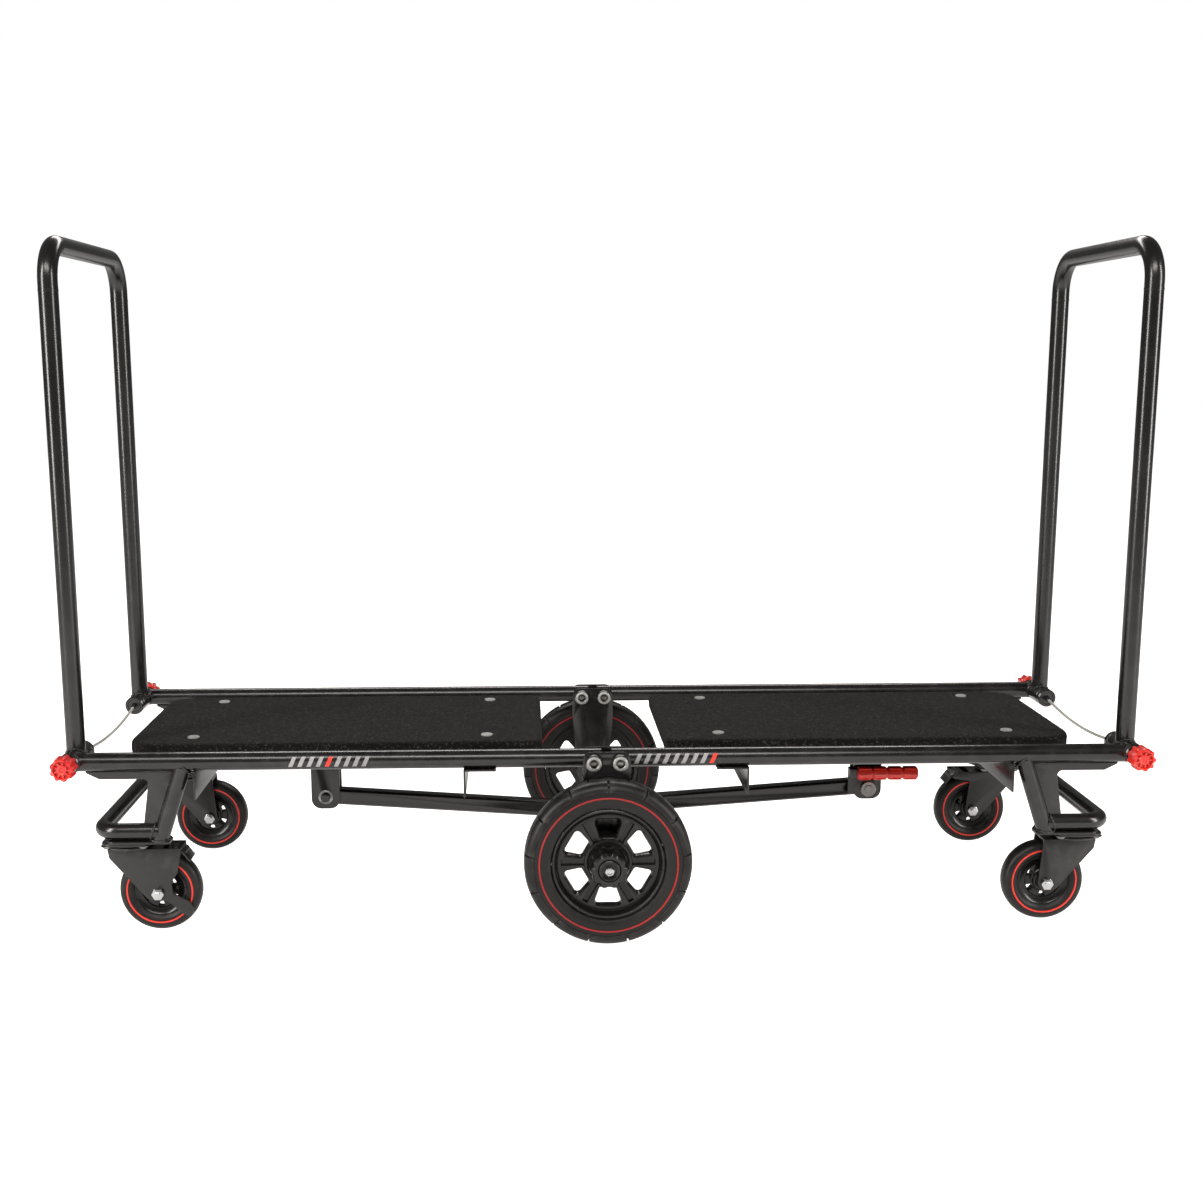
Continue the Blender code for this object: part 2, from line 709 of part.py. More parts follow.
def make_caster(side, face, hung):
    s, f = SIDES[side], FACES[face]
    y = f * CASTER_Y
    swivel_x = s * SWIVEL_X
    axle_x = s * (SWIVEL_X - CASTER_TRAIL)
    name = f"{side}_{face}"
    braked = (side, face) in BRAKED

    plate_bottom = CASTER_PLATE_TOP_Z - CASTER_PLATE_T
    corners = [
        (swivel_x + a * CASTER_PLATE_HALF_X, y + b * CASTER_PLATE_HALF_Y, CASTER_PLATE_CORNER)
        for a, b in ((-1, -1), (1, -1), (1, 1), (-1, 1))
    ]
    top = plate("plate", corners, "XY", CASTER_PLATE_TOP_Z - CASTER_PLATE_T / 2, CASTER_PLATE_T)
    race = rod("race", (swivel_x, y, FORK_TOP_Z + GAP), (swivel_x, y, plate_bottom + 0.002), RACE_R, 18)
    join(top, race)
    finish(top, f"caster_plate_{name}", BLACK_STEEL, hung)

    swivel = joint_empty(f"caster_swivel_{name}", (swivel_x, y, 0), hung)
    crown = block(
        "crown",
        (min(axle_x - s * 0.006, swivel_x + s * 0.030), y - FORK_HALF_W, FORK_TOP_Z - FORK_T),
        (max(axle_x - s * 0.006, swivel_x + s * 0.030), y + FORK_HALF_W, FORK_TOP_Z),
    )
    cheeks = []
    for way in (-1, 1):
        corners = [
            (swivel_x + s * 0.030, FORK_TOP_Z, 0),
            (swivel_x + s * 0.028, FORK_TOP_Z - 0.014, 0),
            (axle_x + s * 0.015, CASTER_R - 0.012, 0.012),
        ]
        if braked and way == f:
            corners += BRAKE_CHEEK_EDGE[s]
        elif braked:
            corners += BRAKE_EAR_EDGE[s]
        else:
            corners += [(axle_x - s * 0.013, CASTER_R - 0.012, 0.012), (axle_x - s * 0.006, FORK_TOP_Z, 0)]
        cheeks.append(plate("cheek", corners, "XZ", y + way * (FORK_HALF_W - FORK_T / 2), FORK_T, steps=4))
    pin = rod(
        "pin", (axle_x, y - FORK_HALF_W - 0.008, CASTER_R), (axle_x, y + FORK_HALF_W + 0.008, CASTER_R), CASTER_AXLE_R, 12
    )
    heads = [
        rod("head", (axle_x, y + way * FORK_HALF_W, CASTER_R), (axle_x, y + way * (FORK_HALF_W + 0.0085), CASTER_R), 0.0096, 6)
        for way in (-1, 1)
    ]
    join(crown, *cheeks, pin, *heads)
    finish(crown, f"caster_fork_{name}", BLACK_STEEL, swivel)

    spin = joint_empty(f"caster_spin_{name}", (axle_x, y, CASTER_R), swivel)
    profile = [
        (CASTER_AXLE_R + GAP, CASTER_HALF_W + 0.002),
        (0.015, CASTER_HALF_W + 0.002),
        (0.016, 0.010),
        (0.043, 0.009),
        (0.050, CASTER_HALF_W),
        (CASTER_R, 0.009),
        (CASTER_R, -0.009),
        (0.050, -CASTER_HALF_W),
        (0.043, -0.009),
        (0.016, -0.010),
        (0.015, -CASTER_HALF_W - 0.002),
        (CASTER_AXLE_R + GAP, -CASTER_HALF_W - 0.002),
    ]
    wheel = turned("wheel", profile, (axle_x, y, CASTER_R), 24, closed=True, flip=f < 0)
    finish(wheel, f"caster_wheel_{name}", TYRE_RUBBER, spin)

    if braked:
        make_brake(name, s, y, swivel)


def make_brake(name, s, y, swivel):
    """The foot lever of a caster brake, hinged between the fork's cheeks on the trailing side."""
    x, z = BRAKE_PIVOT
    lever = plate(
        "lever",
        [
            (s * (x + 0.016), z - 0.0010, 0),
            (s * (x + 0.016), z + 0.0030, 0),
            (s * (x + 0.002), z + 0.0045, 0),
            (s * (x - 0.010), z - 0.0010, 0),
            (s * (x - 0.0175), z - 0.0115, 0),
            (s * (x - 0.0205), z - 0.0150, 0),
            (s * (x - 0.0185), z - 0.0175, 0),
            (s * (x - 0.0150), z - 0.0135, 0),
            (s * (x - 0.0080), z - 0.0040, 0),
            (s * (x + 0.002), z + 0.0010, 0),
        ],
        "XZ",
        y,
        0.036,
    )
    empty = joint_empty(f"brake_hinge_{name}", (s * x, y, z), swivel)
    finish(lever, f"brake_pedal_{name}", BLACK_STEEL, empty)


# ---------------------------------------------------------------- struts and latch


def strut_bar(side):
    """The square bar of a strut, from its eye on the axle to its outer end, with the eye's barrel."""
    s = SIDES[side]
    y = s * STRUT_Y
    rise = STRUT_END_Z - WHEEL_R
    angle = math.atan2(rise, STRUT_END_X)
    length = math.hypot(rise, STRUT_END_X)
    half = STRUT_SIZE / 2
    bar = block("bar", (0.012, -half, -half), (length - 0.004, half, half))
    rounded(bar, 0.003)
    bar.rotation_euler = (0, -angle, 0 if s > 0 else math.pi)
    bar.location = (0, y, WHEEL_R)
    eye = rod("eye", (0, y - half, WHEEL_R), (0, y + half, WHEEL_R), STRUT_EYE_R + 0.002, 18)
    end = rod(
        "end", (s * STRUT_END_X, y - half, STRUT_END_Z), (s * STRUT_END_X, y + half, STRUT_END_Z), STRUT_EYE_R, 18
    )
    join(bar, eye, end)
    bore = rod("axle bore", (0, y - 0.03, WHEEL_R), (0, y + 0.03, WHEEL_R), AXLE_R + GAP)
    cut(bar, bore)
    return bar


def make_left_strut():
    strut = strut_bar("left")
    x, y = -STRUT_END_X, -STRUT_Y
    bore = rod("pin bore", (x, y - 0.03, STRUT_END_Z), (x, y + 0.03, STRUT_END_Z), LATCH_SHAFT_R + GAP)
    cut(strut, bore)
    return finish(strut, "left_strut", FRAME_PAINT)


def make_right_strut(empty):
    """The right strut ends in an open mouth that cradles the latch shaft and can drop away from it."""
    strut = strut_bar("right")
    mouth_r = LATCH_SHAFT_R + 0.001
    seat = rod(
        "seat",
        (STRUT_END_X, STRUT_Y - 0.03, STRUT_END_Z),
        (STRUT_END_X, STRUT_Y + 0.03, STRUT_END_Z),
        mouth_r,
        18,
    )
    mouth = block("mouth", (0, -0.03, -mouth_r), (0.05, 0.03, mouth_r + 0.016))
    mouth.rotation_euler = (0, -RELEASE_ANGLE, 0)
    mouth.location = (STRUT_END_X, STRUT_Y, STRUT_END_Z)
    cut(strut, seat, mouth)
    return finish(strut, "right_strut", FRAME_PAINT, empty)


def make_strut_bracket(side, hung):
    """A channel under the deck: two cheeks either side of the strut's end, and a top flange."""
    s = SIDES[side]
    y = s * STRUT_Y
    inner_half = STRUT_SIZE / 2 + GAP
    top_z = DECK_BOTTOM_Z - GAP
    low_x, high_x = sorted((s * BRACKET_INNER_X, s * BRACKET_OUTER_X))
    bracket = block(
        "top flange",
        (low_x, y - inner_half - CHEEK_T, top_z - CHEEK_T),
        (high_x, y + inner_half + CHEEK_T, top_z),
    )
    corners = [
        (s * BRACKET_INNER_X, top_z - 0.002, 0),
        (s * BRACKET_INNER_X, BRACKET_BOTTOM_Z, 0.016),
        (s * BRACKET_OUTER_X, BRACKET_BOTTOM_Z, 0.016),
        (s * BRACKET_OUTER_X, top_z - 0.002, 0),
    ]
    for way in (-1, 1):
        cheek = plate("bracket cheek", corners, "XZ", y + way * (inner_half + CHEEK_T / 2), CHEEK_T)
        join(bracket, cheek)
    x = s * STRUT_END_X
    reach = inner_half + CHEEK_T + 0.006
    if side == "left":
        pin = rod("strut pin", (x, y - reach, STRUT_END_Z), (x, y + reach, STRUT_END_Z), LATCH_SHAFT_R)
        join(bracket, pin)
    else:
        bore = rod("shaft bore", (x, y - reach, STRUT_END_Z), (x, y + reach, STRUT_END_Z), LATCH_SHAFT_R + GAP)
        cut(bracket, bore)
    return finish(bracket, f"{side}_strut_bracket", FRAME_PAINT, hung)


def make_latch(hung):
    """The latch lever: a shaft through the strut bracket, a boss and an arm up to the grip's rod."""
    x, z = STRUT_END_X, STRUT_END_Z
    cheek_face = STRUT_Y - STRUT_SIZE / 2 - GAP - CHEEK_T
    boss_near, boss_far = cheek_face - GAP - 0.006, cheek_face - GAP
    shaft_end = STRUT_Y + STRUT_SIZE / 2 + GAP + CHEEK_T + 0.004
    boss = rod("latch boss", (x, boss_near, z), (x, boss_far, z), LATCH_BOSS_R, 18)
    shaft = rod("latch shaft", (x, boss_far - 0.001, z), (x, shaft_end, z), LATCH_SHAFT_R, 16)
    arm_x0, arm_x1 = GRIP_X[0] - 0.0125, GRIP_X[0] - 0.0005
    web = plate(
        "latch web",
        [(arm_x0, 0.150, 0.004), (x, z - 0.012, 0), (x, z + 0.012, 0), (arm_x1, 0.1765, 0), (arm_x1, 0.196, 0), (arm_x0, 0.196, 0)],
        "XZ",
        (boss_near + boss_far) / 2,
        boss_far - boss_near,
    )
    step = block("latch step", (arm_x0, GRIP_Y - 0.0065, 0.180), (arm_x1, boss_far - 0.001, 0.1955))
    grip_rod = rod("grip rod", (arm_x0 + 0.002, GRIP_Y, GRIP_Z), (GRIP_X[1] - 0.003, GRIP_Y, GRIP_Z), 0.005, 10)
    join(boss, shaft, web, step, grip_rod)
    empty = joint_empty("latch_pivot", (x, boss_near, z), hung)
    finish(boss, "latch_lever", BLACK_STEEL, empty)

    sleeve = rod("sleeve", (GRIP_X[0], GRIP_Y, GRIP_Z), (GRIP_X[1], GRIP_Y, GRIP_Z), GRIP_R, 16)
    rod_bore = rod("rod bore", (GRIP_X[0] - 0.01, GRIP_Y, GRIP_Z), (GRIP_X[1] - 0.003 + GAP, GRIP_Y, GRIP_Z), 0.005 + GAP, 10)
    cut(sleeve, rod_bore)
    finish(sleeve, "latch_grip", RED_PLASTIC, empty)


# ---------------------------------------------------------------- assembly


clear_scene()
PARTS = new_collection(OBJECT_NAME)
CUTTERS = new_collection("cutters")
FRAME_PAINT = make_material("black_powder_coat", (0.018, 0.018, 0.019), 0.38, 0.0)
BLACK_STEEL = make_material("black_oxide_steel", (0.03, 0.03, 0.032), 0.42, 0.6)
BARE_STEEL = make_material("zinc_plated_steel", (0.62, 0.62, 0.64), 0.3, 1.0)
CARPET = make_material("black_carpet", (0.012, 0.012, 0.012), 0.95, 0.0)
RED_PLASTIC = make_material("red_plastic", (0.72, 0.03, 0.02), 0.35, 0.0)
CABLE_SHEATH = make_material("clear_cable_sheath", (0.62, 0.62, 0.58), 0.35, 0.0)
TYRE_RUBBER = make_material("black_rubber", (0.02, 0.02, 0.02), 0.8, 0.0)
WHEEL_PLASTIC = make_material("black_nylon", (0.015, 0.015, 0.016), 0.5, 0.0)

FOLD = joint_empty("right_fold", (PIVOT_X, 0, PIVOT_Z))
STRUT_PIVOT = joint_empty("right_strut_pivot", (0, 0, WHEEL_R))
for side_name in SIDES:
    half_empty = FOLD if side_name == "right" else None
    make_half(side_name, half_empty)
    make_strut_bracket(side_name, half_empty)
    handle_hinge = joint_empty(
        f"{side_name}_handle_hinge", (SIDES[side_name] * END_X, 0, RAIL_Z), half_empty
    )
    make_handle(side_name, handle_hinge)
    make_cable(side_name, handle_hinge)
    for face_name in FACES:
        make_knob(side_name, face_name, handle_hinge)
        make_caster(side_name, face_name, half_empty)
        make_pivot_bolt(side_name, face_name)

for face_name in FACES:
    make_centre_plate(face_name, "outer")
    make_centre_plate(face_name, "inner")
    wheel_empty = joint_empty(f"wheel_spin_{face_name}", (0, FACES[face_name] * WHEEL_Y, WHEEL_R))
    make_tyre(face_name, wheel_empty)
    make_rim(face_name, wheel_empty)
make_axle()
make_left_strut()
make_right_strut(STRUT_PIVOT)
make_latch(FOLD)
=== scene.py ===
import math

import bmesh
import bpy
from mathutils import Matrix, Vector


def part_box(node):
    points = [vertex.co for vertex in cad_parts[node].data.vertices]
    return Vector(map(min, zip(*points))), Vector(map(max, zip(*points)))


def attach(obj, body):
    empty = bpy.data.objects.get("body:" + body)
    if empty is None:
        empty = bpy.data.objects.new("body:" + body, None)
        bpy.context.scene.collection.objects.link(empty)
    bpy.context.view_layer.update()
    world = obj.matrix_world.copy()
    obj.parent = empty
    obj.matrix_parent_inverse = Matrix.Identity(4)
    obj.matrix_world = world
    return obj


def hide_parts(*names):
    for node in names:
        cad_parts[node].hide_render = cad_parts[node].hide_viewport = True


# Looks of the folding platform cart: black tube frame, carpeted decks, spoked centre wheels, swivel casters
# and red release knobs. Metres, +Z up, X along the cart, near is -Y and left is -X.

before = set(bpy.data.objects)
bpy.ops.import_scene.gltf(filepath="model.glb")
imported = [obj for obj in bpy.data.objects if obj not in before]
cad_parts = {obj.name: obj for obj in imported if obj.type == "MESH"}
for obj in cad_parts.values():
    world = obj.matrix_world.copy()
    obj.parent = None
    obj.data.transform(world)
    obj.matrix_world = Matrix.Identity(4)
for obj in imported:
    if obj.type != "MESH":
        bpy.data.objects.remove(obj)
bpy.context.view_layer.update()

# ---------------------------------------------------------------- sizes, from the frame where it holds them

SIDES = {"left": -1, "right": 1}
FACES = {"near": -1, "far": 1}
HALF_BODY = {"left": "chassis", "right": "right_half"}

rail_low, rail_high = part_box("right_rail_far")
RAIL_Y = (rail_low.y + rail_high.y) / 2
RAIL_Z = (rail_low.z + rail_high.z) / 2
RAIL_START_X = rail_low.x
KNUCKLE_R = (rail_high.z - rail_low.z) / 2
KNUCKLE_HALF = (rail_high.y - rail_low.y) / 2
END_X = rail_high.x - KNUCKLE_R
TUBE_R = 0.0143
SMALL_TUBE_R = 0.0127

handle_low, handle_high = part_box("right_handle")
HANDLE_TOP_Z = handle_high.z - TUBE_R
HANDLE_LEG_Y = 0.199
HANDLE_BEND_R = 0.055
BARREL_INNER_Y = 0.155
BARREL_OUTER_Y = handle_high.y
CABLE_R = 0.0025

deck_low, deck_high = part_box("right_deck")
DECK_SCREWS_X = (deck_low.x + 0.088, deck_high.x - 0.098)
DECK_SCREW_Y = 0.128

tyre_low, tyre_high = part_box("wheel_tyre_far")
WHEEL_R = (tyre_high.z - tyre_low.z) / 2
WHEEL_Y = (tyre_low.y + tyre_high.y) / 2
WHEEL_RED_R = 0.104
RIM_R = 0.0857
HUB_CAP_R = 0.0295
HUB_CAP_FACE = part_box("wheel_rim_far")[1].y - WHEEL_Y
AXLE_END_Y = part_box("axle")[1].y

caster_low, caster_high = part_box("caster_wheel_right_far")
CASTER_R = (caster_high.z - caster_low.z) / 2
CASTER_X = (caster_low.x + caster_high.x) / 2
CASTER_Y = (caster_low.y + caster_high.y) / 2
SWIVEL_X = 0.735
FORK_TOP_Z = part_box("caster_fork_right_far")[1].z
FORK_HALF_W = 0.0225
CASTER_PLATE_CORNER = 0.018

PIVOT_X, PIVOT_Z = 0.020, 0.272
BOLT_FACE = TUBE_R + 0.0056
LEG_TOP = (0.646, 0.2562)
LEG_FOOT = (0.681, 0.1560)
bumper_low, bumper_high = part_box("right_bumper_loop")
BUMPER_Z = (bumper_low.z + bumper_high.z) / 2
BUMPER_X = bumper_high.x - SMALL_TUBE_R
BUMPER_BEND_R = 0.030
STRUT_END_X, STRUT_END_Z = 0.4544, 0.159
grip_low, grip_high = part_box("latch_grip")


# ---------------------------------------------------------------- closed shapes


def skin(rings, loop=False):
    """A closed shape through a row of rings. A ring of one point is a pole. Loop joins last to first."""
    shape = bmesh.new()
    made = [[shape.verts.new(point) for point in ring] for ring in rings]
    pairs = list(zip(made, made[1:]))
    if loop:
        pairs.append((made[-1], made[0]))
    for first, second in pairs:
        count = max(len(first), len(second))
        for index in range(count):
            following = (index + 1) % count
            corners = [
                first[index % len(first)],
                first[following % len(first)],
                second[following % len(second)],
                second[index % len(second)],
            ]
            shape.faces.new(list(dict.fromkeys(corners)))
    if not loop:
        for end in (made[0], made[-1]):
            if len(end) > 2:
                shape.faces.new(end)
    bmesh.ops.recalc_face_normals(shape, faces=shape.faces)
    return shape


AXES = {
    "X": (Vector((0, 1, 0)), Vector((0, 0, 1)), Vector((1, 0, 0))),
    "Y": (Vector((1, 0, 0)), Vector((0, 0, 1)), Vector((0, 1, 0))),
    "Z": (Vector((1, 0, 0)), Vector((0, 1, 0)), Vector((0, 0, 1))),
}


def turned(profile, centre=(0, 0, 0), axis="Y", sign=1, steps=48, ring=False, lobes=0, lobe_depth=0.0):
    """A profile of (radius, distance) points turned about an axis. Lobes scallop the widest radii."""
    across, up, along = AXES[axis]
    widest = max(radius for radius, distance in profile)
    rings = []
    for radius, distance in profile:
        middle = Vector(centre) + along * (sign * distance)
        if radius == 0:
            rings.append([middle])
            continue
        points = []
        for step in range(steps):
            angle = 2 * math.pi * step / steps
            dent = lobe_depth * (0.5 - 0.5 * math.cos(lobes * angle)) if radius > 0.85 * widest else 0
            points.append(middle + (across * math.cos(angle) + up * math.sin(angle)) * (radius - dent))
        rings.append(points)
    return skin(rings, loop=ring)


def swept(path, radius, sides=24):
    """A round tube along a path of close points."""
    path = [Vector(point) for point in path]
    across = (path[1] - path[0]).orthogonal().normalized()
    rings = []
    for index, point in enumerate(path):
        ahead = (path[min(index + 1, len(path) - 1)] - path[max(index - 1, 0)]).normalized()
        across = (across - ahead * across.dot(ahead)).normalized()
        up = ahead.cross(across)
        turns = [2 * math.pi * step / sides for step in range(sides)]
        rings.append([point + (across * math.cos(turn) + up * math.sin(turn)) * radius for turn in turns])
    return skin(rings)


def soften(shape, width, angle=30, segments=2):
    """Rounds every edge that is sharper than the angle."""
    sharp = [edge for edge in shape.edges if edge.calc_face_angle(0) > math.radians(angle)]
    bmesh.ops.bevel(
        shape, geom=sharp, offset=width, segments=segments, profile=0.5, affect="EDGES", clamp_overlap=True
    )
    return shape


def rounded_outline(corners, steps=6):
    """Points of a closed outline whose corners are (x, y, radius)."""
    points = []
    count = len(corners)
    for index, (x, y, radius) in enumerate(corners):
        corner = Vector((x, y))
        if radius == 0:
            points.append(corner)
            continue
        before = (Vector(corners[index - 1][:2]) - corner).normalized()
        after = (Vector(corners[(index + 1) % count][:2]) - corner).normalized()
        half = before.angle(after) / 2
        centre = corner + (before + after).normalized() * (radius / math.sin(half))
        start = corner + before * (radius / math.tan(half)) - centre
        sweep = start.angle_signed(corner + after * (radius / math.tan(half)) - centre)
        for step in range(steps + 1):
            points.append(centre + Matrix.Rotation(-sweep * step / steps, 2) @ start)
    return points


def slab(outline, plane, low, high, edge=0.0):
    """A flat plate with the outline given, between two distances along the plane's third axis."""
    place = {
        "XY": lambda a, b, distance: (a, b, distance),
        "XZ": lambda a, b, distance: (a, distance, b),
        "YZ": lambda a, b, distance: (distance, a, b),
    }[plane]
    rings = [[Vector(place(point[0], point[1], distance)) for point in outline] for distance in (low, high)]
    shape = skin(rings)
    return soften(shape, edge) if edge else shape


def brick(low, high, edge=0.001):
    outline = [(low[0], low[1]), (high[0], low[1]), (high[0], high[1]), (low[0], high[1])]
    return slab(outline, "XY", low[2], high[2], edge)


def hexagon(radius, turn=0.0):
    return [
        (radius * math.cos(turn + math.pi * k / 3), radius * math.sin(turn + math.pi * k / 3))
        for k in range(6)
    ]


def outward_faces(shape):
    bmesh.ops.recalc_face_normals(shape, faces=shape.faces)
    return shape


def placed(shape, matrix):
    bmesh.ops.transform(shape, matrix=matrix, verts=shape.verts)
    return shape


def moved(shape, offset):
    return placed(shape, Matrix.Translation(offset))


def outward(shape, face, centre):
    """A shape built about the origin with its outer side towards -Y, turned for its side of the cart."""
    turn = Matrix.Rotation(math.pi if face == "far" else 0, 4, "Z")
    return placed(shape, Matrix.Translation(centre) @ turn)


def gather(*shapes):
    """One shape from several closed ones."""
    whole = bmesh.new()
    for shape in shapes:
        mesh = bpy.data.meshes.new("part")
        shape.to_mesh(mesh)
        shape.free()
        whole.from_mesh(mesh)
        bpy.data.meshes.remove(mesh)
    return whole


def cad_shape(node, edge):
    """A node's own solid with its doubles merged, its flat faces joined up and its edges rounded."""
    shape = bmesh.new()
    shape.from_mesh(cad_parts[node].data)
    bmesh.ops.remove_doubles(shape, verts=shape.verts, dist=1e-5)
    bmesh.ops.dissolve_limit(shape, angle_limit=math.radians(1), verts=shape.verts, edges=shape.edges)
    return soften(shape, edge, angle=40)


def piece(name, shape, material, body, replaces=(), sharp=32):
    """A finished piece that rides on a body."""
    mesh = bpy.data.meshes.new(name)
    bmesh.ops.recalc_face_normals(shape, faces=shape.faces)
    shape.to_mesh(mesh)
    shape.free()
    mesh.shade_smooth()
    mesh.set_sharp_from_angle(angle=math.radians(sharp))
    mesh.materials.clear()
    mesh.materials.append(material)
    obj = bpy.data.objects.new(name, mesh)
    bpy.context.scene.collection.objects.link(obj)
    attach(obj, body)
    if replaces:
        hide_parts(*replaces)
    return obj


# ---------------------------------------------------------------- node helpers


def put(tree, kind, sockets=None, **settings):
    """A node with its settings, whose sockets take a value or another node's output."""
    node = tree.nodes.new(kind)
    for key, value in settings.items():
        setattr(node, key, value)
    for key, value in (sockets or {}).items():
        if isinstance(value, bpy.types.NodeSocket):
            tree.links.new(value, node.inputs[key])
        else:
            node.inputs[key].default_value = value
    return node


def new_tree(name, kind, inputs, outputs):
    tree = bpy.data.node_groups.new(name, kind)
    for label, socket_type, value in inputs:
        socket = tree.interface.new_socket(label, in_out="INPUT", socket_type=socket_type)
        if value is not None:
            socket.default_value = value
    for label, socket_type in outputs:
        tree.interface.new_socket(label, in_out="OUTPUT", socket_type=socket_type)
    return tree, tree.nodes.new("NodeGroupInput").outputs


def geometry_tree(name, inputs):
    whole = [("Geometry", "NodeSocketGeometry", None), *inputs, ("Material", "NodeSocketMaterial", None)]
    return new_tree(name, "GeometryNodeTree", whole, [("Geometry", "NodeSocketGeometry")])


def end_tree(tree, geometry, given):
    solid = put(tree, "GeometryNodeRealizeInstances", {"Geometry": geometry})
    painted = put(
        tree,
        "GeometryNodeSetMaterial",
        {"Geometry": solid.outputs[0], "Material": given["Material"]},
    )
    put(tree, "NodeGroupOutput", {"Geometry": painted.outputs[0]})
    return tree


def math_node(tree, operation, first, second):
    return put(tree, "ShaderNodeMath", {0: first, 1: second}, operation=operation).outputs[0]


def grown(mesh, tree, values, material):
    """What a tree makes of a mesh, as a shape."""
    obj = bpy.data.objects.new("seed", mesh)
    bpy.context.scene.collection.objects.link(obj)
    modifier = obj.modifiers.new(tree.name, "NODES")
    modifier.node_group = tree
    settings = {**values, "Material": material}
    for item in tree.interface.items_tree:
        if item.item_type == "SOCKET" and item.in_out == "INPUT" and item.name in settings:
            modifier[item.identifier] = settings[item.name]
    bpy.context.view_layer.update()
    graph = bpy.context.evaluated_depsgraph_get()
    result = bpy.data.meshes.new_from_object(obj.evaluated_get(graph))
    bpy.data.objects.remove(obj, do_unlink=True)
    shape = bmesh.new()
    shape.from_mesh(result)
    bpy.data.meshes.remove(result)
    bmesh.ops.remove_doubles(shape, verts=shape.verts, dist=1e-7)
    return shape


def shape_mesh(shape):
    mesh = bpy.data.meshes.new("seed")
    shape.to_mesh(mesh)
    shape.free()
    return mesh


def line_mesh(points, closed=False):
    mesh = bpy.data.meshes.new("line")
    edges = [(index, index + 1) for index in range(len(points) - 1)]
    if closed:
        edges.append((len(points) - 1, 0))
    mesh.from_pydata([tuple(point) for point in points], edges, [])
    return mesh


# ---------------------------------------------------------------- geometry trees


def make_bent_tube_tree():
    """A polyline's corners become bends, and a round tube follows it."""
    tree, given = geometry_tree(
        "Bent tube",
        [
            ("Tube Radius", "NodeSocketFloat", TUBE_R),
            ("Bend Radius", "NodeSocketFloat", HANDLE_BEND_R),
            ("Bend Steps", "NodeSocketInt", 14),
            ("Sides", "NodeSocketInt", 40),
        ],
    )
    curve = put(tree, "GeometryNodeMeshToCurve", {"Mesh": given["Geometry"]})
    bent = put(
        tree,
        "GeometryNodeFilletCurve",
        {"Curve": curve.outputs[0], "Radius": given["Bend Radius"], "Count": given["Bend Steps"]},
        mode="POLY",
    )
    ring = put(
        tree,
        "GeometryNodeCurvePrimitiveCircle",
        {"Resolution": given["Sides"], "Radius": given["Tube Radius"]},
    )
    tube = put(
        tree,
        "GeometryNodeCurveToMesh",
        {"Curve": bent.outputs[0], "Profile Curve": ring.outputs[0], "Fill Caps": True},
    )
    return end_tree(tree, tube.outputs[0], given)


def make_wheel_repeat_tree():
    """Copies of a shape turned evenly about the Y axis."""
    tree, given = geometry_tree("Repeat round an axle", [("Count", "NodeSocketInt", 6)])
    points = put(tree, "GeometryNodePoints", {"Count": given["Count"]})
    share = math_node(tree, "DIVIDE", put(tree, "GeometryNodeInputIndex").outputs[0], given["Count"])
    angle = math_node(tree, "MULTIPLY", share, 2 * math.pi)
    turn = put(tree, "ShaderNodeCombineXYZ", {"Y": angle})
    copies = put(
        tree,
        "GeometryNodeInstanceOnPoints",
        {"Points": points.outputs[0], "Instance": given["Geometry"], "Rotation": turn.outputs[0]},
    )
    return end_tree(tree, copies.outputs[0], given)


def make_row_tree():
    """Copies of a shape in a straight row."""
    tree, given = geometry_tree(
        "Row of copies", [("Count", "NodeSocketInt", 4), ("Step", "NodeSocketVector", (0.02, 0.0, 0.0))]
    )
    line = put(tree, "GeometryNodeMeshLine", {"Count": given["Count"], "Offset": given["Step"]})
    copies = put(
        tree,
        "GeometryNodeInstanceOnPoints",
        {"Points": line.outputs[0], "Instance": given["Geometry"]},
    )
    return end_tree(tree, copies.outputs[0], given)


def make_weld_tree():
    """Overlapping ripples of weld metal along a polyline."""
    tree, given = geometry_tree(
        "Weld bead",
        [
            ("Bead Radius", "NodeSocketFloat", 0.0022),
            ("Pitch", "NodeSocketFloat", 0.0021),
            ("Seed", "NodeSocketInt", 3),
        ],
    )
    curve = put(tree, "GeometryNodeMeshToCurve", {"Mesh": given["Geometry"]})
    places = put(
        tree,
        "GeometryNodeCurveToPoints",
        {"Curve": curve.outputs[0], "Length": given["Pitch"]},
        mode="LENGTH",
    )
    ripple = put(tree, "GeometryNodeMeshIcoSphere", {"Radius": given["Bead Radius"], "Subdivisions": 2})
    size = put(
        tree,
        "FunctionNodeRandomValue",
        {"Min": (0.85, 0.85, 0.85), "Max": (1.15, 1.15, 1.15), "Seed": given["Seed"]},
        data_type="FLOAT_VECTOR",
    )
    copies = put(
        tree,
        "GeometryNodeInstanceOnPoints",
        {"Points": places.outputs[0], "Instance": ripple.outputs[0], "Scale": size.outputs[0]},
    )
    return end_tree(tree, copies.outputs[0], given)


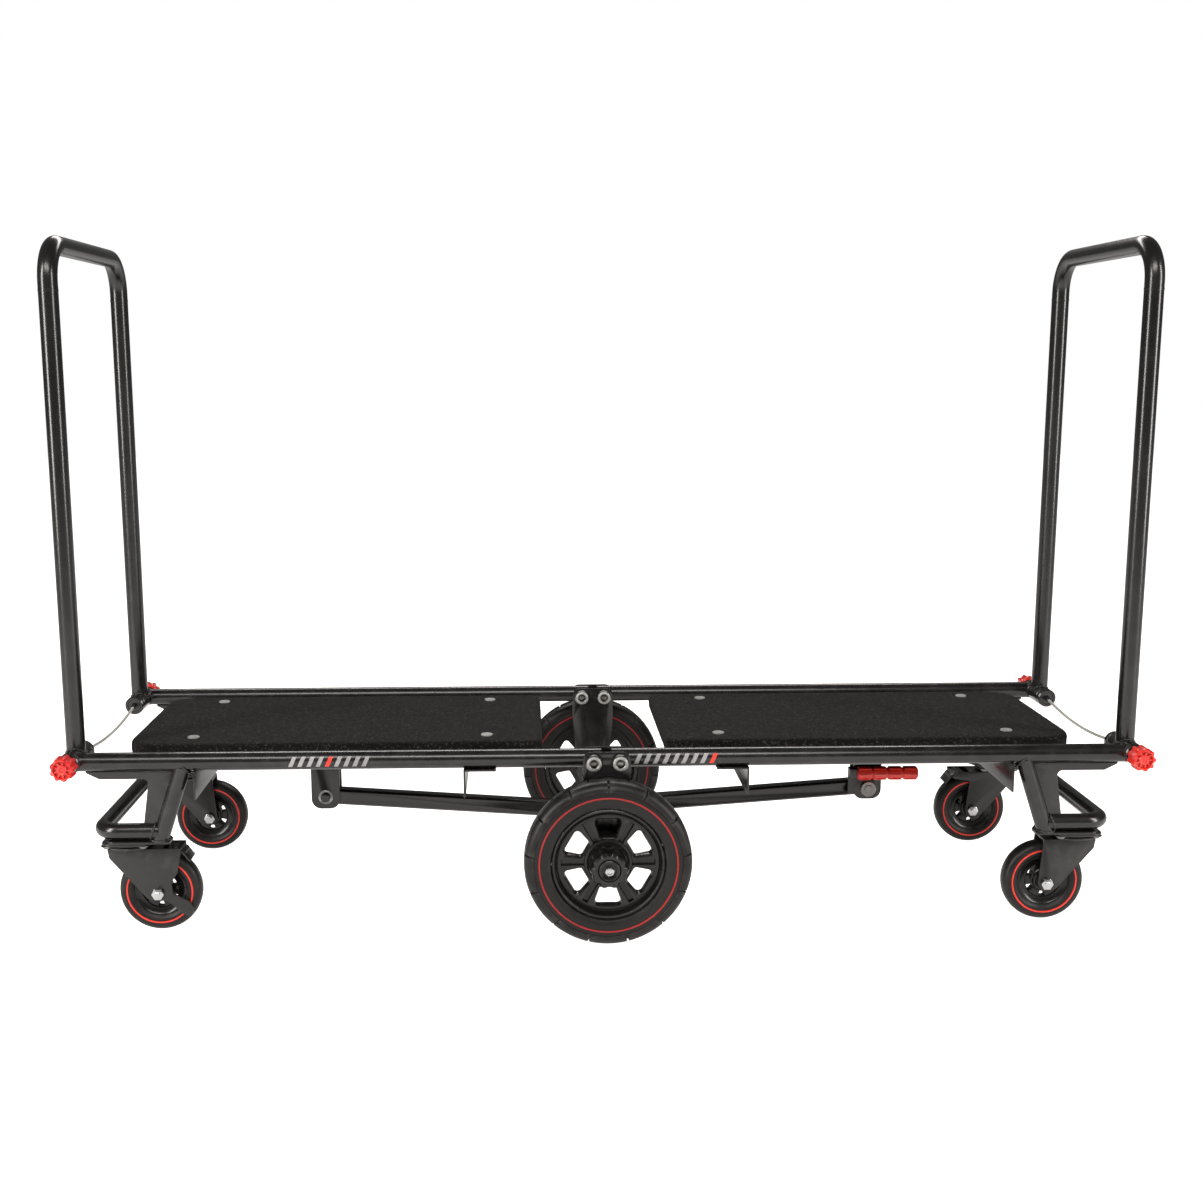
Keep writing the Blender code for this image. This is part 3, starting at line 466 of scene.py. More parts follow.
def make_pile_tree():
    """Lifts a fine mesh into the loops of a carpet."""
    tree, given = geometry_tree(
        "Loop pile",
        [
            ("Loop Size", "NodeSocketFloat", 0.0055),
            ("Loop Height", "NodeSocketFloat", 0.0009),
            ("Unevenness", "NodeSocketFloat", 0.0006),
        ],
    )
    scale = math_node(tree, "DIVIDE", 1.0, given["Loop Size"])
    cells = put(tree, "ShaderNodeTexVoronoi", {"Scale": scale}, feature="F1")
    waves = put(tree, "ShaderNodeTexNoise", {"Scale": 22.0, "Detail": 2.0})
    loops = math_node(
        tree,
        "MULTIPLY",
        math_node(tree, "SUBTRACT", 0.45, cells.outputs["Distance"]),
        given["Loop Height"],
    )
    lift = math_node(
        tree,
        "MULTIPLY",
        math_node(tree, "SUBTRACT", waves.outputs[0], 0.5),
        given["Unevenness"],
    )
    height = math_node(tree, "ADD", loops, lift)
    normal = put(tree, "GeometryNodeInputNormal")
    offset = put(tree, "ShaderNodeVectorMath", {0: normal.outputs[0], "Scale": height}, operation="SCALE")
    lifted = put(
        tree,
        "GeometryNodeSetPosition",
        {"Geometry": given["Geometry"], "Offset": offset.outputs[0]},
    )
    return end_tree(tree, lifted.outputs[0], given)


BENT_TUBE = make_bent_tube_tree()
ROUND_AXLE = make_wheel_repeat_tree()
ROW = make_row_tree()
WELD = make_weld_tree()
PILE = make_pile_tree()


# ---------------------------------------------------------------- shader groups


def shader_group(name, inputs, outputs):
    return new_tree(name, "ShaderNodeTree", inputs, outputs)


def make_speckle_group():
    """Fine mottling of a finish: a mask for colour, a roughness and a bumped normal."""
    tree, given = shader_group(
        "Fine speckle",
        [
            ("Scale", "NodeSocketFloat", 400.0),
            ("Roughness", "NodeSocketFloat", 0.4),
            ("Roughness Spread", "NodeSocketFloat", 0.1),
            ("Height", "NodeSocketFloat", 0.0001),
        ],
        [("Mask", "NodeSocketFloat"), ("Roughness", "NodeSocketFloat"), ("Normal", "NodeSocketVector")],
    )
    place = put(tree, "ShaderNodeTexCoord").outputs["Object"]
    fine = put(tree, "ShaderNodeTexNoise", {"Vector": place, "Scale": given["Scale"], "Detail": 3.0})
    broad = put(tree, "ShaderNodeTexNoise", {"Vector": place, "Scale": 9.0, "Detail": 4.0})
    mask = put(tree, "ShaderNodeMapRange", {"Value": broad.outputs[0], "From Min": 0.35, "From Max": 0.7})
    spread = math_node(tree, "SUBTRACT", broad.outputs[0], 0.5)
    rough = math_node(
        tree,
        "ADD",
        given["Roughness"],
        math_node(tree, "MULTIPLY", spread, given["Roughness Spread"]),
    )
    bump = put(
        tree,
        "ShaderNodeBump",
        {"Strength": 1.0, "Distance": given["Height"], "Height": fine.outputs[0]},
    )
    put(
        tree,
        "NodeGroupOutput",
        {"Mask": mask.outputs[0], "Roughness": rough, "Normal": bump.outputs[0]},
    )
    return tree


def make_wear_group():
    """Rubbed edges and corners: a mask that is strong where the surface turns sharply outwards."""
    tree, given = shader_group(
        "Edge wear",
        [("Amount", "NodeSocketFloat", 0.5)],
        [("Mask", "NodeSocketFloat")],
    )
    sharp = put(tree, "ShaderNodeNewGeometry").outputs["Pointiness"]
    edge = put(tree, "ShaderNodeMapRange", {"Value": sharp, "From Min": 0.52, "From Max": 0.62})
    place = put(tree, "ShaderNodeTexCoord").outputs["Object"]
    patches = put(tree, "ShaderNodeTexNoise", {"Vector": place, "Scale": 60.0, "Detail": 5.0})
    broken = put(
        tree,
        "ShaderNodeMapRange",
        {"Value": patches.outputs[0], "From Min": 0.45, "From Max": 0.65},
    )
    both = math_node(tree, "MULTIPLY", edge.outputs[0], broken.outputs[0])
    put(tree, "NodeGroupOutput", {"Mask": math_node(tree, "MULTIPLY", both, given["Amount"])})
    return tree


SPECKLE = make_speckle_group()
WEAR = make_wear_group()


# ---------------------------------------------------------------- materials


def mix_colour(tree, factor, first, second):
    """The socket of a colour mixed from two, each a colour or another socket."""
    node = tree.nodes.new("ShaderNodeMix")
    node.data_type = "RGBA"
    tree.links.new(factor, node.inputs[0])
    for socket, value in ((node.inputs[6], first), (node.inputs[7], second)):
        if isinstance(value, bpy.types.NodeSocket):
            tree.links.new(value, socket)
        else:
            socket.default_value = value
    return node.outputs[2]


def finish_material(name, dark, light, speckle, worn=None, worn_amount=0.0, **constants):
    """A surface mottled between two colours and, where a third is given, rubbed to it along its edges."""
    material = bpy.data.materials.new(name)
    material.use_nodes = True
    tree = material.node_tree
    shader = tree.nodes["Principled BSDF"]
    for socket, value in constants.items():
        shader.inputs[socket.replace("_", " ")].default_value = value
    grain = put(tree, "ShaderNodeGroup", node_tree=SPECKLE)
    for socket, value in speckle.items():
        grain.inputs[socket].default_value = value
    colour = mix_colour(tree, grain.outputs["Mask"], (*dark, 1.0), (*light, 1.0))
    if worn is not None:
        wear = put(tree, "ShaderNodeGroup", node_tree=WEAR)
        wear.inputs["Amount"].default_value = worn_amount
        colour = mix_colour(tree, wear.outputs["Mask"], colour, (*worn, 1.0))
    tree.links.new(colour, shader.inputs["Base Color"])
    tree.links.new(grain.outputs["Roughness"], shader.inputs["Roughness"])
    tree.links.new(grain.outputs["Normal"], shader.inputs["Normal"])
    return material


FRAME_PAINT = finish_material(
    "satin_black_powder_coat",
    (0.0046, 0.0042, 0.0040),
    (0.0085, 0.0078, 0.0072),
    {"Scale": 900.0, "Roughness": 0.235, "Roughness Spread": 0.10, "Height": 0.000025},
    worn=(0.05, 0.047, 0.044),
    worn_amount=0.30,
    Specular_IOR_Level=0.6,
)
BLACK_STEEL = finish_material(
    "black_plated_steel",
    (0.0055, 0.0050, 0.0046),
    (0.0110, 0.0100, 0.0092),
    {"Scale": 500.0, "Roughness": 0.33, "Roughness Spread": 0.15, "Height": 0.00004},
    worn=(0.10, 0.095, 0.09),
    worn_amount=0.4,
    Specular_IOR_Level=0.6,
)
BOLT_STEEL = finish_material(
    "dark_nickel_bolts",
    (0.13, 0.125, 0.12),
    (0.22, 0.21, 0.20),
    {"Scale": 300.0, "Roughness": 0.30, "Roughness Spread": 0.12, "Height": 0.00004},
    worn=(0.55, 0.54, 0.52),
    worn_amount=0.7,
    Metallic=1.0,
)
BRIGHT_STEEL = finish_material(
    "bright_zinc_plate",
    (0.46, 0.46, 0.47),
    (0.66, 0.66, 0.66),
    {"Scale": 350.0, "Roughness": 0.26, "Roughness Spread": 0.16, "Height": 0.00004},
    Metallic=1.0,
)
WELD_METAL = finish_material(
    "painted_weld",
    (0.008, 0.008, 0.008),
    (0.020, 0.019, 0.018),
    {"Scale": 700.0, "Roughness": 0.22, "Roughness Spread": 0.15, "Height": 0.00006},
)
RED_PLASTIC = finish_material(
    "moulded_red_plastic",
    (0.62, 0.012, 0.012),
    (0.78, 0.035, 0.02),
    {"Scale": 250.0, "Roughness": 0.30, "Roughness Spread": 0.15, "Height": 0.00005},
    worn=(0.95, 0.22, 0.12),
    worn_amount=0.6,
    Subsurface_Weight=0.15,
    Subsurface_Scale=0.004,
    Coat_Weight=0.3,
    Coat_Roughness=0.15,
)
RED_RUBBER = finish_material(
    "red_ring_rubber",
    (0.66, 0.026, 0.014),
    (0.82, 0.045, 0.024),
    {"Scale": 300.0, "Roughness": 0.45, "Roughness Spread": 0.15, "Height": 0.00006},
)
WHEEL_RED = finish_material(
    "dark_red_ring_rubber",
    (0.27, 0.006, 0.006),
    (0.38, 0.012, 0.010),
    {"Scale": 300.0, "Roughness": 0.45, "Roughness Spread": 0.15, "Height": 0.00006},
)
TYRE_RUBBER = finish_material(
    "black_tyre_rubber",
    (0.0065, 0.0058, 0.0054),
    (0.0135, 0.0122, 0.0112),
    {"Scale": 420.0, "Roughness": 0.42, "Roughness Spread": 0.22, "Height": 0.00010},
    worn=(0.10, 0.095, 0.09),
    worn_amount=0.7,
    Specular_IOR_Level=0.30,
)
WHEEL_PLASTIC = finish_material(
    "black_moulded_nylon",
    (0.0038, 0.0036, 0.0034),
    (0.0075, 0.0070, 0.0066),
    {"Scale": 600.0, "Roughness": 0.25, "Roughness Spread": 0.15, "Height": 0.00005},
    worn=(0.06, 0.058, 0.056),
    worn_amount=0.4,
    Specular_IOR_Level=0.42,
)
CABLE_SHEATH = finish_material(
    "clear_sheathed_cable",
    (0.42, 0.42, 0.38),
    (0.56, 0.56, 0.51),
    {"Scale": 200.0, "Roughness": 0.28, "Roughness Spread": 0.15, "Height": 0.00005},
    Coat_Weight=0.6,
    Coat_Roughness=0.08,
)
# Pale brushed steel: the deck screws' own colour, and also the painted highlight rings laid on the pivot bolt
# heads.
SCREW_STEEL_AND_BOLT_HIGHLIGHT = finish_material(
    "brushed_screw_steel_and_bolt_highlight",
    (0.30, 0.30, 0.29),
    (0.42, 0.42, 0.41),
    {"Scale": 500.0, "Roughness": 0.45, "Roughness Spread": 0.15, "Height": 0.00004},
    Metallic=0.5,
)
MARK_BLACK = finish_material(
    "dark_rail_mark",
    (0.008, 0.008, 0.008),
    (0.013, 0.013, 0.013),
    {"Scale": 300.0, "Roughness": 0.22, "Roughness Spread": 0.1, "Height": 0.00002},
)
MARK_GREY = finish_material(
    "pale_rail_mark",
    (0.24, 0.235, 0.235),
    (0.34, 0.33, 0.33),
    {"Scale": 300.0, "Roughness": 0.35, "Roughness Spread": 0.1, "Height": 0.00002},
)


def make_carpet_material():
    """Black loop pile: small tufts in slightly different blacks, with painted shade that darkens the dips
    between the tufts, a soft sheen and grey flecks.
    """
    material = bpy.data.materials.new("black_loop_carpet")
    material.use_nodes = True
    tree = material.node_tree
    shader = tree.nodes["Principled BSDF"]
    shader.inputs["Sheen Weight"].default_value = 0.03
    shader.inputs["Sheen Roughness"].default_value = 0.5
    shader.inputs["Specular IOR Level"].default_value = 0.12
    place = put(tree, "ShaderNodeTexCoord").outputs["Object"]
    tufts = put(tree, "ShaderNodeTexVoronoi", {"Vector": place, "Scale": 430.0})
    fibres = put(tree, "ShaderNodeTexNoise", {"Vector": place, "Scale": 1500.0, "Detail": 2.0})
    flecks = put(tree, "ShaderNodeTexNoise", {"Vector": place, "Scale": 260.0, "Detail": 3.0})
    wide = put(tree, "ShaderNodeTexNoise", {"Vector": place, "Scale": 7.0, "Detail": 3.0})
    hollow = put(tree, "ShaderNodeMapRange", {"Value": tufts.outputs["Distance"], "From Max": 0.7})
    pale = put(tree, "ShaderNodeMapRange", {"Value": flecks.outputs[0], "From Min": 0.55, "From Max": 0.72})
    # Painted shade: each tuft is coloured darker towards its edges, down in the dips where the bump is
    # lowest.
    base = mix_colour(tree, hollow.outputs[0], (0.0098, 0.0084, 0.0076, 1.0), (0.0020, 0.0018, 0.0016, 1.0))
    flecked = mix_colour(tree, pale.outputs[0], base, (0.046, 0.040, 0.036, 1.0))
    worn = put(
        tree,
        "ShaderNodeMapRange",
        {"Value": wide.outputs[0], "From Min": 0.4, "From Max": 0.8, "To Max": 0.4},
    )
    colour = mix_colour(tree, worn.outputs[0], flecked, (0.0130, 0.0114, 0.0104, 1.0))
    rough = put(tree, "ShaderNodeMapRange", {"Value": fibres.outputs[0], "To Min": 0.85, "To Max": 1.0})
    height = math_node(tree, "SUBTRACT", fibres.outputs[0], tufts.outputs["Distance"])
    bump = put(tree, "ShaderNodeBump", {"Strength": 0.9, "Distance": 0.0012, "Height": height})
    tree.links.new(colour, shader.inputs["Base Color"])
    tree.links.new(rough.outputs[0], shader.inputs["Roughness"])
    tree.links.new(bump.outputs[0], shader.inputs["Normal"])
    return material


CARPET = make_carpet_material()


# ---------------------------------------------------------------- welds and fasteners


def weld(points, closed=False, radius=0.0022):
    """A rippled bead along a path, pushed through the surfaces that it joins."""
    return grown(line_mesh(points, closed), WELD, {"Bead Radius": radius, "Pitch": radius * 0.95}, WELD_METAL)


def saddle(place, tube_r, other_r, steps=36):
    """The closed line where a tube along Z meets a bigger one along Y, at the origin, then put in place."""
    points = []
    for step in range(steps):
        angle = 2 * math.pi * step / steps
        x, y = tube_r * math.cos(angle), tube_r * math.sin(angle)
        points.append(place @ Vector((x, y, math.sqrt(max(other_r**2 - x**2, 0)))))
    return points


def hex_head(radius, height, edge=0.0008):
    """A hexagon head standing on Z = 0, with its washer."""
    washer = turned([(0, 0.0012), (radius * 1.45, 0.0012), (radius * 1.5, 0.0), (0, 0.0)], axis="Z", steps=32)
    head = slab(hexagon(radius), "XY", 0.0008, height, edge)
    return gather(washer, head)


# ---------------------------------------------------------------- frame halves


def make_rail(side, face):
    s, f = SIDES[side], FACES[face]
    y = f * RAIL_Y
    tube = turned(
        [(0, RAIL_START_X), (TUBE_R - 0.0012, RAIL_START_X), (TUBE_R, RAIL_START_X + 0.0012),
         (TUBE_R, END_X - 0.004), (0, END_X - 0.004)],
        (0, y, RAIL_Z),
        "X",
        s,
        48,
    )
    half = KNUCKLE_HALF
    knuckle = turned(
        [(0, -half), (KNUCKLE_R - 0.0018, -half), (KNUCKLE_R, -half + 0.0018), (KNUCKLE_R, -0.0025),
         (KNUCKLE_R - 0.0008, -0.0018), (KNUCKLE_R - 0.0008, 0.0018), (KNUCKLE_R, 0.0025),
         (KNUCKLE_R, half - 0.0018), (KNUCKLE_R - 0.0018, half), (0.0129, half), (0.0129, half - 0.008),
         (0, half - 0.008)],
        (s * END_X, y, RAIL_Z),
        "Y",
        f,
        48,
    )
    piece(f"{side}_rail_tube_{face}", gather(tube, knuckle), FRAME_PAINT, HALF_BODY[side],
          [f"{side}_rail_{face}"])


def make_rail_welds(side):
    """Beads where the rails meet their hinge knuckles, the leg tubes and the cross-members."""
    s = SIDES[side]
    shapes = []
    for f in FACES.values():
        turn = Matrix.Rotation(math.radians(-90 * s), 4, "Y")
        at_knuckle = Matrix.Translation((s * END_X, f * RAIL_Y, RAIL_Z)) @ turn
        shapes.append(weld(saddle(at_knuckle, TUBE_R - 0.001, KNUCKLE_R), True, 0.0017))
        lean = math.atan2(LEG_FOOT[0] - LEG_TOP[0], LEG_TOP[1] - LEG_FOOT[1])
        foot_x = LEG_TOP[0] - (RAIL_Z - LEG_TOP[1]) * math.tan(lean)
        for_leg = Matrix.Translation((s * foot_x, f * RAIL_Y, RAIL_Z)) @ Matrix.Rotation(math.pi, 4, "X")
        for_leg = for_leg @ Matrix.Rotation(s * lean, 4, "Y") @ Matrix.Rotation(math.radians(90), 4, "Z")
        shapes.append(weld(saddle(for_leg, SMALL_TUBE_R + 0.0004, TUBE_R), True, 0.0021))
        for x in (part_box("right_crossmember_inner")[0].x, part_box("right_crossmember_outer")[0].x):
            low = RAIL_Z - TUBE_R - 0.0005
            shapes.append(
                weld(
                    [
                        (s * (x + 0.002), f * (RAIL_Y - 0.012), low),
                        (s * (x + 0.002), f * (RAIL_Y + 0.012), low),
                    ],
                    False,
                    0.0016,
                ),
            )
        strip = [(s * x, f * (RAIL_Y - 0.0035), RAIL_Z - TUBE_R - 0.0006) for x in (0.662, 0.785)]
        shapes.append(weld(strip, False, 0.0016))
        strip = [(s * x, f * (RAIL_Y + 0.0035), RAIL_Z - TUBE_R - 0.0006) for x in (0.662, 0.785)]
        shapes.append(weld(strip, False, 0.0016))
    piece(f"{side}_frame_welds", gather(*shapes), WELD_METAL, HALF_BODY[side])


def make_cross_members(side):
    for place in ("inner", "outer"):
        node = f"{side}_crossmember_{place}"
        piece(
            f"{side}_{place}_crossmember",
            cad_shape(node, 0.0007),
            FRAME_PAINT,
            HALF_BODY[side],
            [node],
        )


def make_tower(side, face):
    """Leaning leg tube, gusset plate and base plate over a caster."""
    s, f = SIDES[side], FACES[face]
    y = f * RAIL_Y
    top = RAIL_Z - TUBE_R * 0.6
    reach = (top - LEG_TOP[1]) / (LEG_TOP[1] - LEG_FOOT[1])
    leg = swept(
        [
            (s * (LEG_TOP[0] + reach * (LEG_TOP[0] - LEG_FOOT[0])), y, top),
            (s * LEG_FOOT[0], y, LEG_FOOT[1] - 0.004),
        ],
        SMALL_TUBE_R,
        40,
    )
    under = RAIL_Z - TUBE_R - 0.0001
    outline = rounded_outline(
        [(s * 0.648, under, 0), (s * 0.788, under, 0), (s * 0.788, 0.2580, 0.003), (s * 0.768, 0.2480, 0.004),
         (s * 0.694, 0.2480, 0.008), (s * 0.7085, 0.1500, 0), (s * 0.685, 0.1500, 0)]
    )
    gusset = slab(outline, "XZ", y - 0.002, y + 0.002, 0.0008)
    plate_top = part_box(f"caster_plate_{side}_{face}")[1].z
    base_outline = [(s * 0.664, f * 0.2425, 0.002), (s * 0.664, f * 0.218, 0.002),
                    (s * 0.698, f * 0.156, 0.003), (s * 0.760, f * 0.156, 0.010),
                    (s * 0.760, f * 0.2425, 0.010)]
    base = slab(rounded_outline(base_outline), "XY", plate_top + 0.0003, plate_top + 0.0047, 0.0010)
    base = outward_faces(base)
    piece(f"{side}_caster_leg_{face}", gather(leg, gusset, base), FRAME_PAINT, HALF_BODY[side],
          [f"{side}_caster_tower_{face}"])
    foot = LEG_FOOT[1] - 0.0035
    ring = [(s * LEG_FOOT[0] + 0.0135 * math.cos(a), y + 0.0128 * math.sin(a), foot)
            for a in [2 * math.pi * k / 32 for k in range(32)]]
    piece(f"{side}_leg_welds_{face}", weld(ring, True, 0.0022), WELD_METAL,
          HALF_BODY[side])


def make_bumper(side):
    s = SIDES[side]
    arm = 0.6815
    corners = [(s * arm, -RAIL_Y, BUMPER_Z), (s * BUMPER_X, -RAIL_Y, BUMPER_Z),
               (s * BUMPER_X, RAIL_Y, BUMPER_Z), (s * arm, RAIL_Y, BUMPER_Z)]
    values = {"Tube Radius": SMALL_TUBE_R, "Bend Radius": BUMPER_BEND_R}
    loop = grown(line_mesh(corners), BENT_TUBE, values, FRAME_PAINT)
    piece(f"{side}_bumper_tube", loop, FRAME_PAINT, HALF_BODY[side], [f"{side}_bumper_loop"])
    shapes = []
    for f in FACES.values():
        ring = []
        for step in range(32):
            angle = 2 * math.pi * step / 32
            z = SMALL_TUBE_R * math.sin(angle)
            ring.append(
                (s * (0.6777 + 0.0127 - 0.35 * z), f * RAIL_Y + SMALL_TUBE_R * math.cos(angle),
                 BUMPER_Z + z),
            )
        shapes.append(weld(ring, True, 0.0018))
    piece(f"{side}_bumper_welds", gather(*shapes), WELD_METAL, HALF_BODY[side])


# ---------------------------------------------------------------- decks


def make_deck(side):
    """A board wrapped in loop carpet, with large round corners at its outer end."""
    s = SIDES[side]
    inner, outer, half = s * deck_low.x, s * deck_high.x, deck_high.y
    outline = rounded_outline(
        [(inner, -half, 0.020), (outer, -half, 0.050), (outer, half, 0.050), (inner, half, 0.020)], 10
    )
    board = slab(outline, "XY", deck_low.z, deck_high.z - 0.0004)
    soften(board, 0.007, segments=4)
    obj = bpy.data.objects.new("board", shape_mesh(board))
    bpy.context.scene.collection.objects.link(obj)
    remesh = obj.modifiers.new("Even mesh", "REMESH")
    remesh.mode = "VOXEL"
    remesh.voxel_size = 0.0030
    bpy.context.view_layer.update()
    fine = bpy.data.meshes.new_from_object(obj.evaluated_get(bpy.context.evaluated_depsgraph_get()))
    bpy.data.objects.remove(obj, do_unlink=True)
    pile = grown(fine, PILE, {}, CARPET)
    piece(f"{side}_carpeted_deck", pile, CARPET, HALF_BODY[side], [f"{side}_deck"], sharp=80)
    heads = []
    for x in DECK_SCREWS_X:
        for f in FACES.values():
            head = turned(
                [(0, 0.0004), (0.0035, 0.0004), (0.0045, 0.0011), (0.0085, 0.0011), (0.0095, 0.0002),
                 (0.0095, -0.001), (0, -0.001)],
                (s * x, f * DECK_SCREW_Y, deck_high.z + 0.0005),
                "Z",
                1,
                32,
            )
            heads.append(head)
    piece(f"{side}_deck_screws", gather(*heads), SCREW_STEEL_AND_BOLT_HIGHLIGHT, HALF_BODY[side])


# ---------------------------------------------------------------- handles and their hinges


def make_handle(side):
    s = SIDES[side]
    x = s * END_X
    corners = [(x, -HANDLE_LEG_Y, RAIL_Z + 0.004), (x, -HANDLE_LEG_Y, HANDLE_TOP_Z),
               (x, HANDLE_LEG_Y, HANDLE_TOP_Z), (x, HANDLE_LEG_Y, RAIL_Z + 0.004)]
    shapes = [grown(line_mesh(corners), BENT_TUBE, {"Bend Radius": HANDLE_BEND_R}, FRAME_PAINT)]
    length = BARREL_OUTER_Y - BARREL_INNER_Y
    barrel = [(0, 0.0012), (0.0105, 0.0012), (0.0112, 0), (KNUCKLE_R - 0.0022, 0), (KNUCKLE_R, 0.002),
              (KNUCKLE_R, 0.0105), (KNUCKLE_R - 0.0012, 0.0115), (KNUCKLE_R - 0.0012, 0.0135),
              (KNUCKLE_R, 0.0145), (KNUCKLE_R, length - 0.0018), (KNUCKLE_R - 0.0018, length),
              (0, length)]
    seam_z = HANDLE_TOP_Z - HANDLE_BEND_R - 0.012
    seam = [(TUBE_R - 0.001, 0.0022), (TUBE_R + 0.0002, 0.0018), (TUBE_R + 0.0004, 0.0),
            (TUBE_R + 0.0002, -0.0018), (TUBE_R - 0.001, -0.0022)]
    for f in FACES.values():
        shapes.append(turned(barrel, (x, f * BARREL_INNER_Y, RAIL_Z), "Y", f))
        shapes.append(turned(seam, (x, f * HANDLE_LEG_Y, seam_z), "Z", 1, 48, ring=True))
    body = f"{side}_handle_frame"
    piece(f"{side}_handle_tube", gather(*shapes), FRAME_PAINT, body, [f"{side}_handle"])
    beads = []
    for f in FACES.values():
        foot = Matrix.Translation((x, f * HANDLE_LEG_Y, RAIL_Z))
        beads.append(weld(saddle(foot, TUBE_R + 0.0002, KNUCKLE_R), True, 0.0021))
    piece(f"{side}_handle_welds", gather(*beads), WELD_METAL, body)
    make_cable(side, x, body)


def make_cable(side, x, body):
    """The sheathed release cable between the two hinge barrels, with a ferrule at each end."""
    end = BARREL_INNER_Y - 0.0004
    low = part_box(f"{side}_release_cable")[0].z + CABLE_R
    sag = RAIL_Z - low
    path = [(x, end * k / 20, RAIL_Z - sag * (1 - (k / 20) ** 2)) for k in range(-20, 21)]
    piece(
        f"{side}_cable",
        swept(path, CABLE_R, 14),
        CABLE_SHEATH,
        body,
        [f"{side}_release_cable"],
    )
    ferrules = []
    for f in FACES.values():
        profile = [(0, 0.011), (0.0030, 0.011), (0.0042, 0.0095), (0.0042, 0.0), (0.0052, 0.0),
                   (0.0052, -0.003), (0, -0.003)]
        tilt = math.atan(2 * sag / end)
        ferrule = turned(profile, (0, 0, 0), "Y", -1, 24)
        turn = Matrix.Rotation(0 if f > 0 else math.pi, 4, "Z") @ Matrix.Rotation(tilt, 4, "X")
        ferrules.append(placed(ferrule, Matrix.Translation((x, f * (end + 0.0005), RAIL_Z)) @ turn))
    piece(f"{side}_cable_ferrules", gather(*ferrules), BLACK_STEEL, body)


def make_knob(side, face):
    """A lobed push knob, dished in front and hollow behind, that slides over a fixed collar when pressed."""
    low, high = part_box(f"{side}_release_knob_{face}")
    f = FACES[face]
    star_back = abs(high.y if f > 0 else low.y) - 0.028
    lobed = turned(
        [(0, -0.0215), (0.0122, -0.0215), (0.0128, -0.0262), (0.0140, -0.0274), (0.0168, -0.0270),
         (0.0180, -0.0256), (0.0186, -0.0225), (0.0191, -0.0050), (0.0188, -0.0022), (0.0178, -0.0006),
         (0.0134, -0.0006), (0.0134, -0.0115), (0, -0.0115)],
        steps=162,
        lobes=9,
        lobe_depth=0.0030,
    )
    button = turned(
        [(0, -0.0240), (0.0030, -0.0240), (0.0036, -0.0250), (0.0070, -0.0250), (0.0078, -0.0242),
         (0.0080, -0.0200), (0, -0.0200)],
        steps=36,
    )
    rib = brick((0.0072, -0.0246, -0.0011), (0.0132, -0.0205, 0.0011), 0.0005)
    ribs = grown(shape_mesh(rib), ROUND_AXLE, {"Count": 9}, RED_PLASTIC)
    body = f"{side}_knob_{face}"
    star = outward(gather(lobed, button, ribs), face, (SIDES[side] * END_X, f * star_back, RAIL_Z))
    piece(f"{side}_star_knob_{face}", star, RED_PLASTIC, body, [f"{side}_release_knob_{face}"])
    collar = turned(
        [(0, -0.0032), (0.0114, -0.0032), (0.0122, -0.0024), (0.0122, 0.0080), (0.0116, 0.0082), (0, 0.0082)],
        steps=40,
    )
    collar = outward(collar, face, (SIDES[side] * END_X, f * star_back, RAIL_Z))
    piece(f"{side}_knob_collar_{face}", collar, BLACK_STEEL, HALF_BODY[side])


# ---------------------------------------------------------------- centre plates, bolts and axle


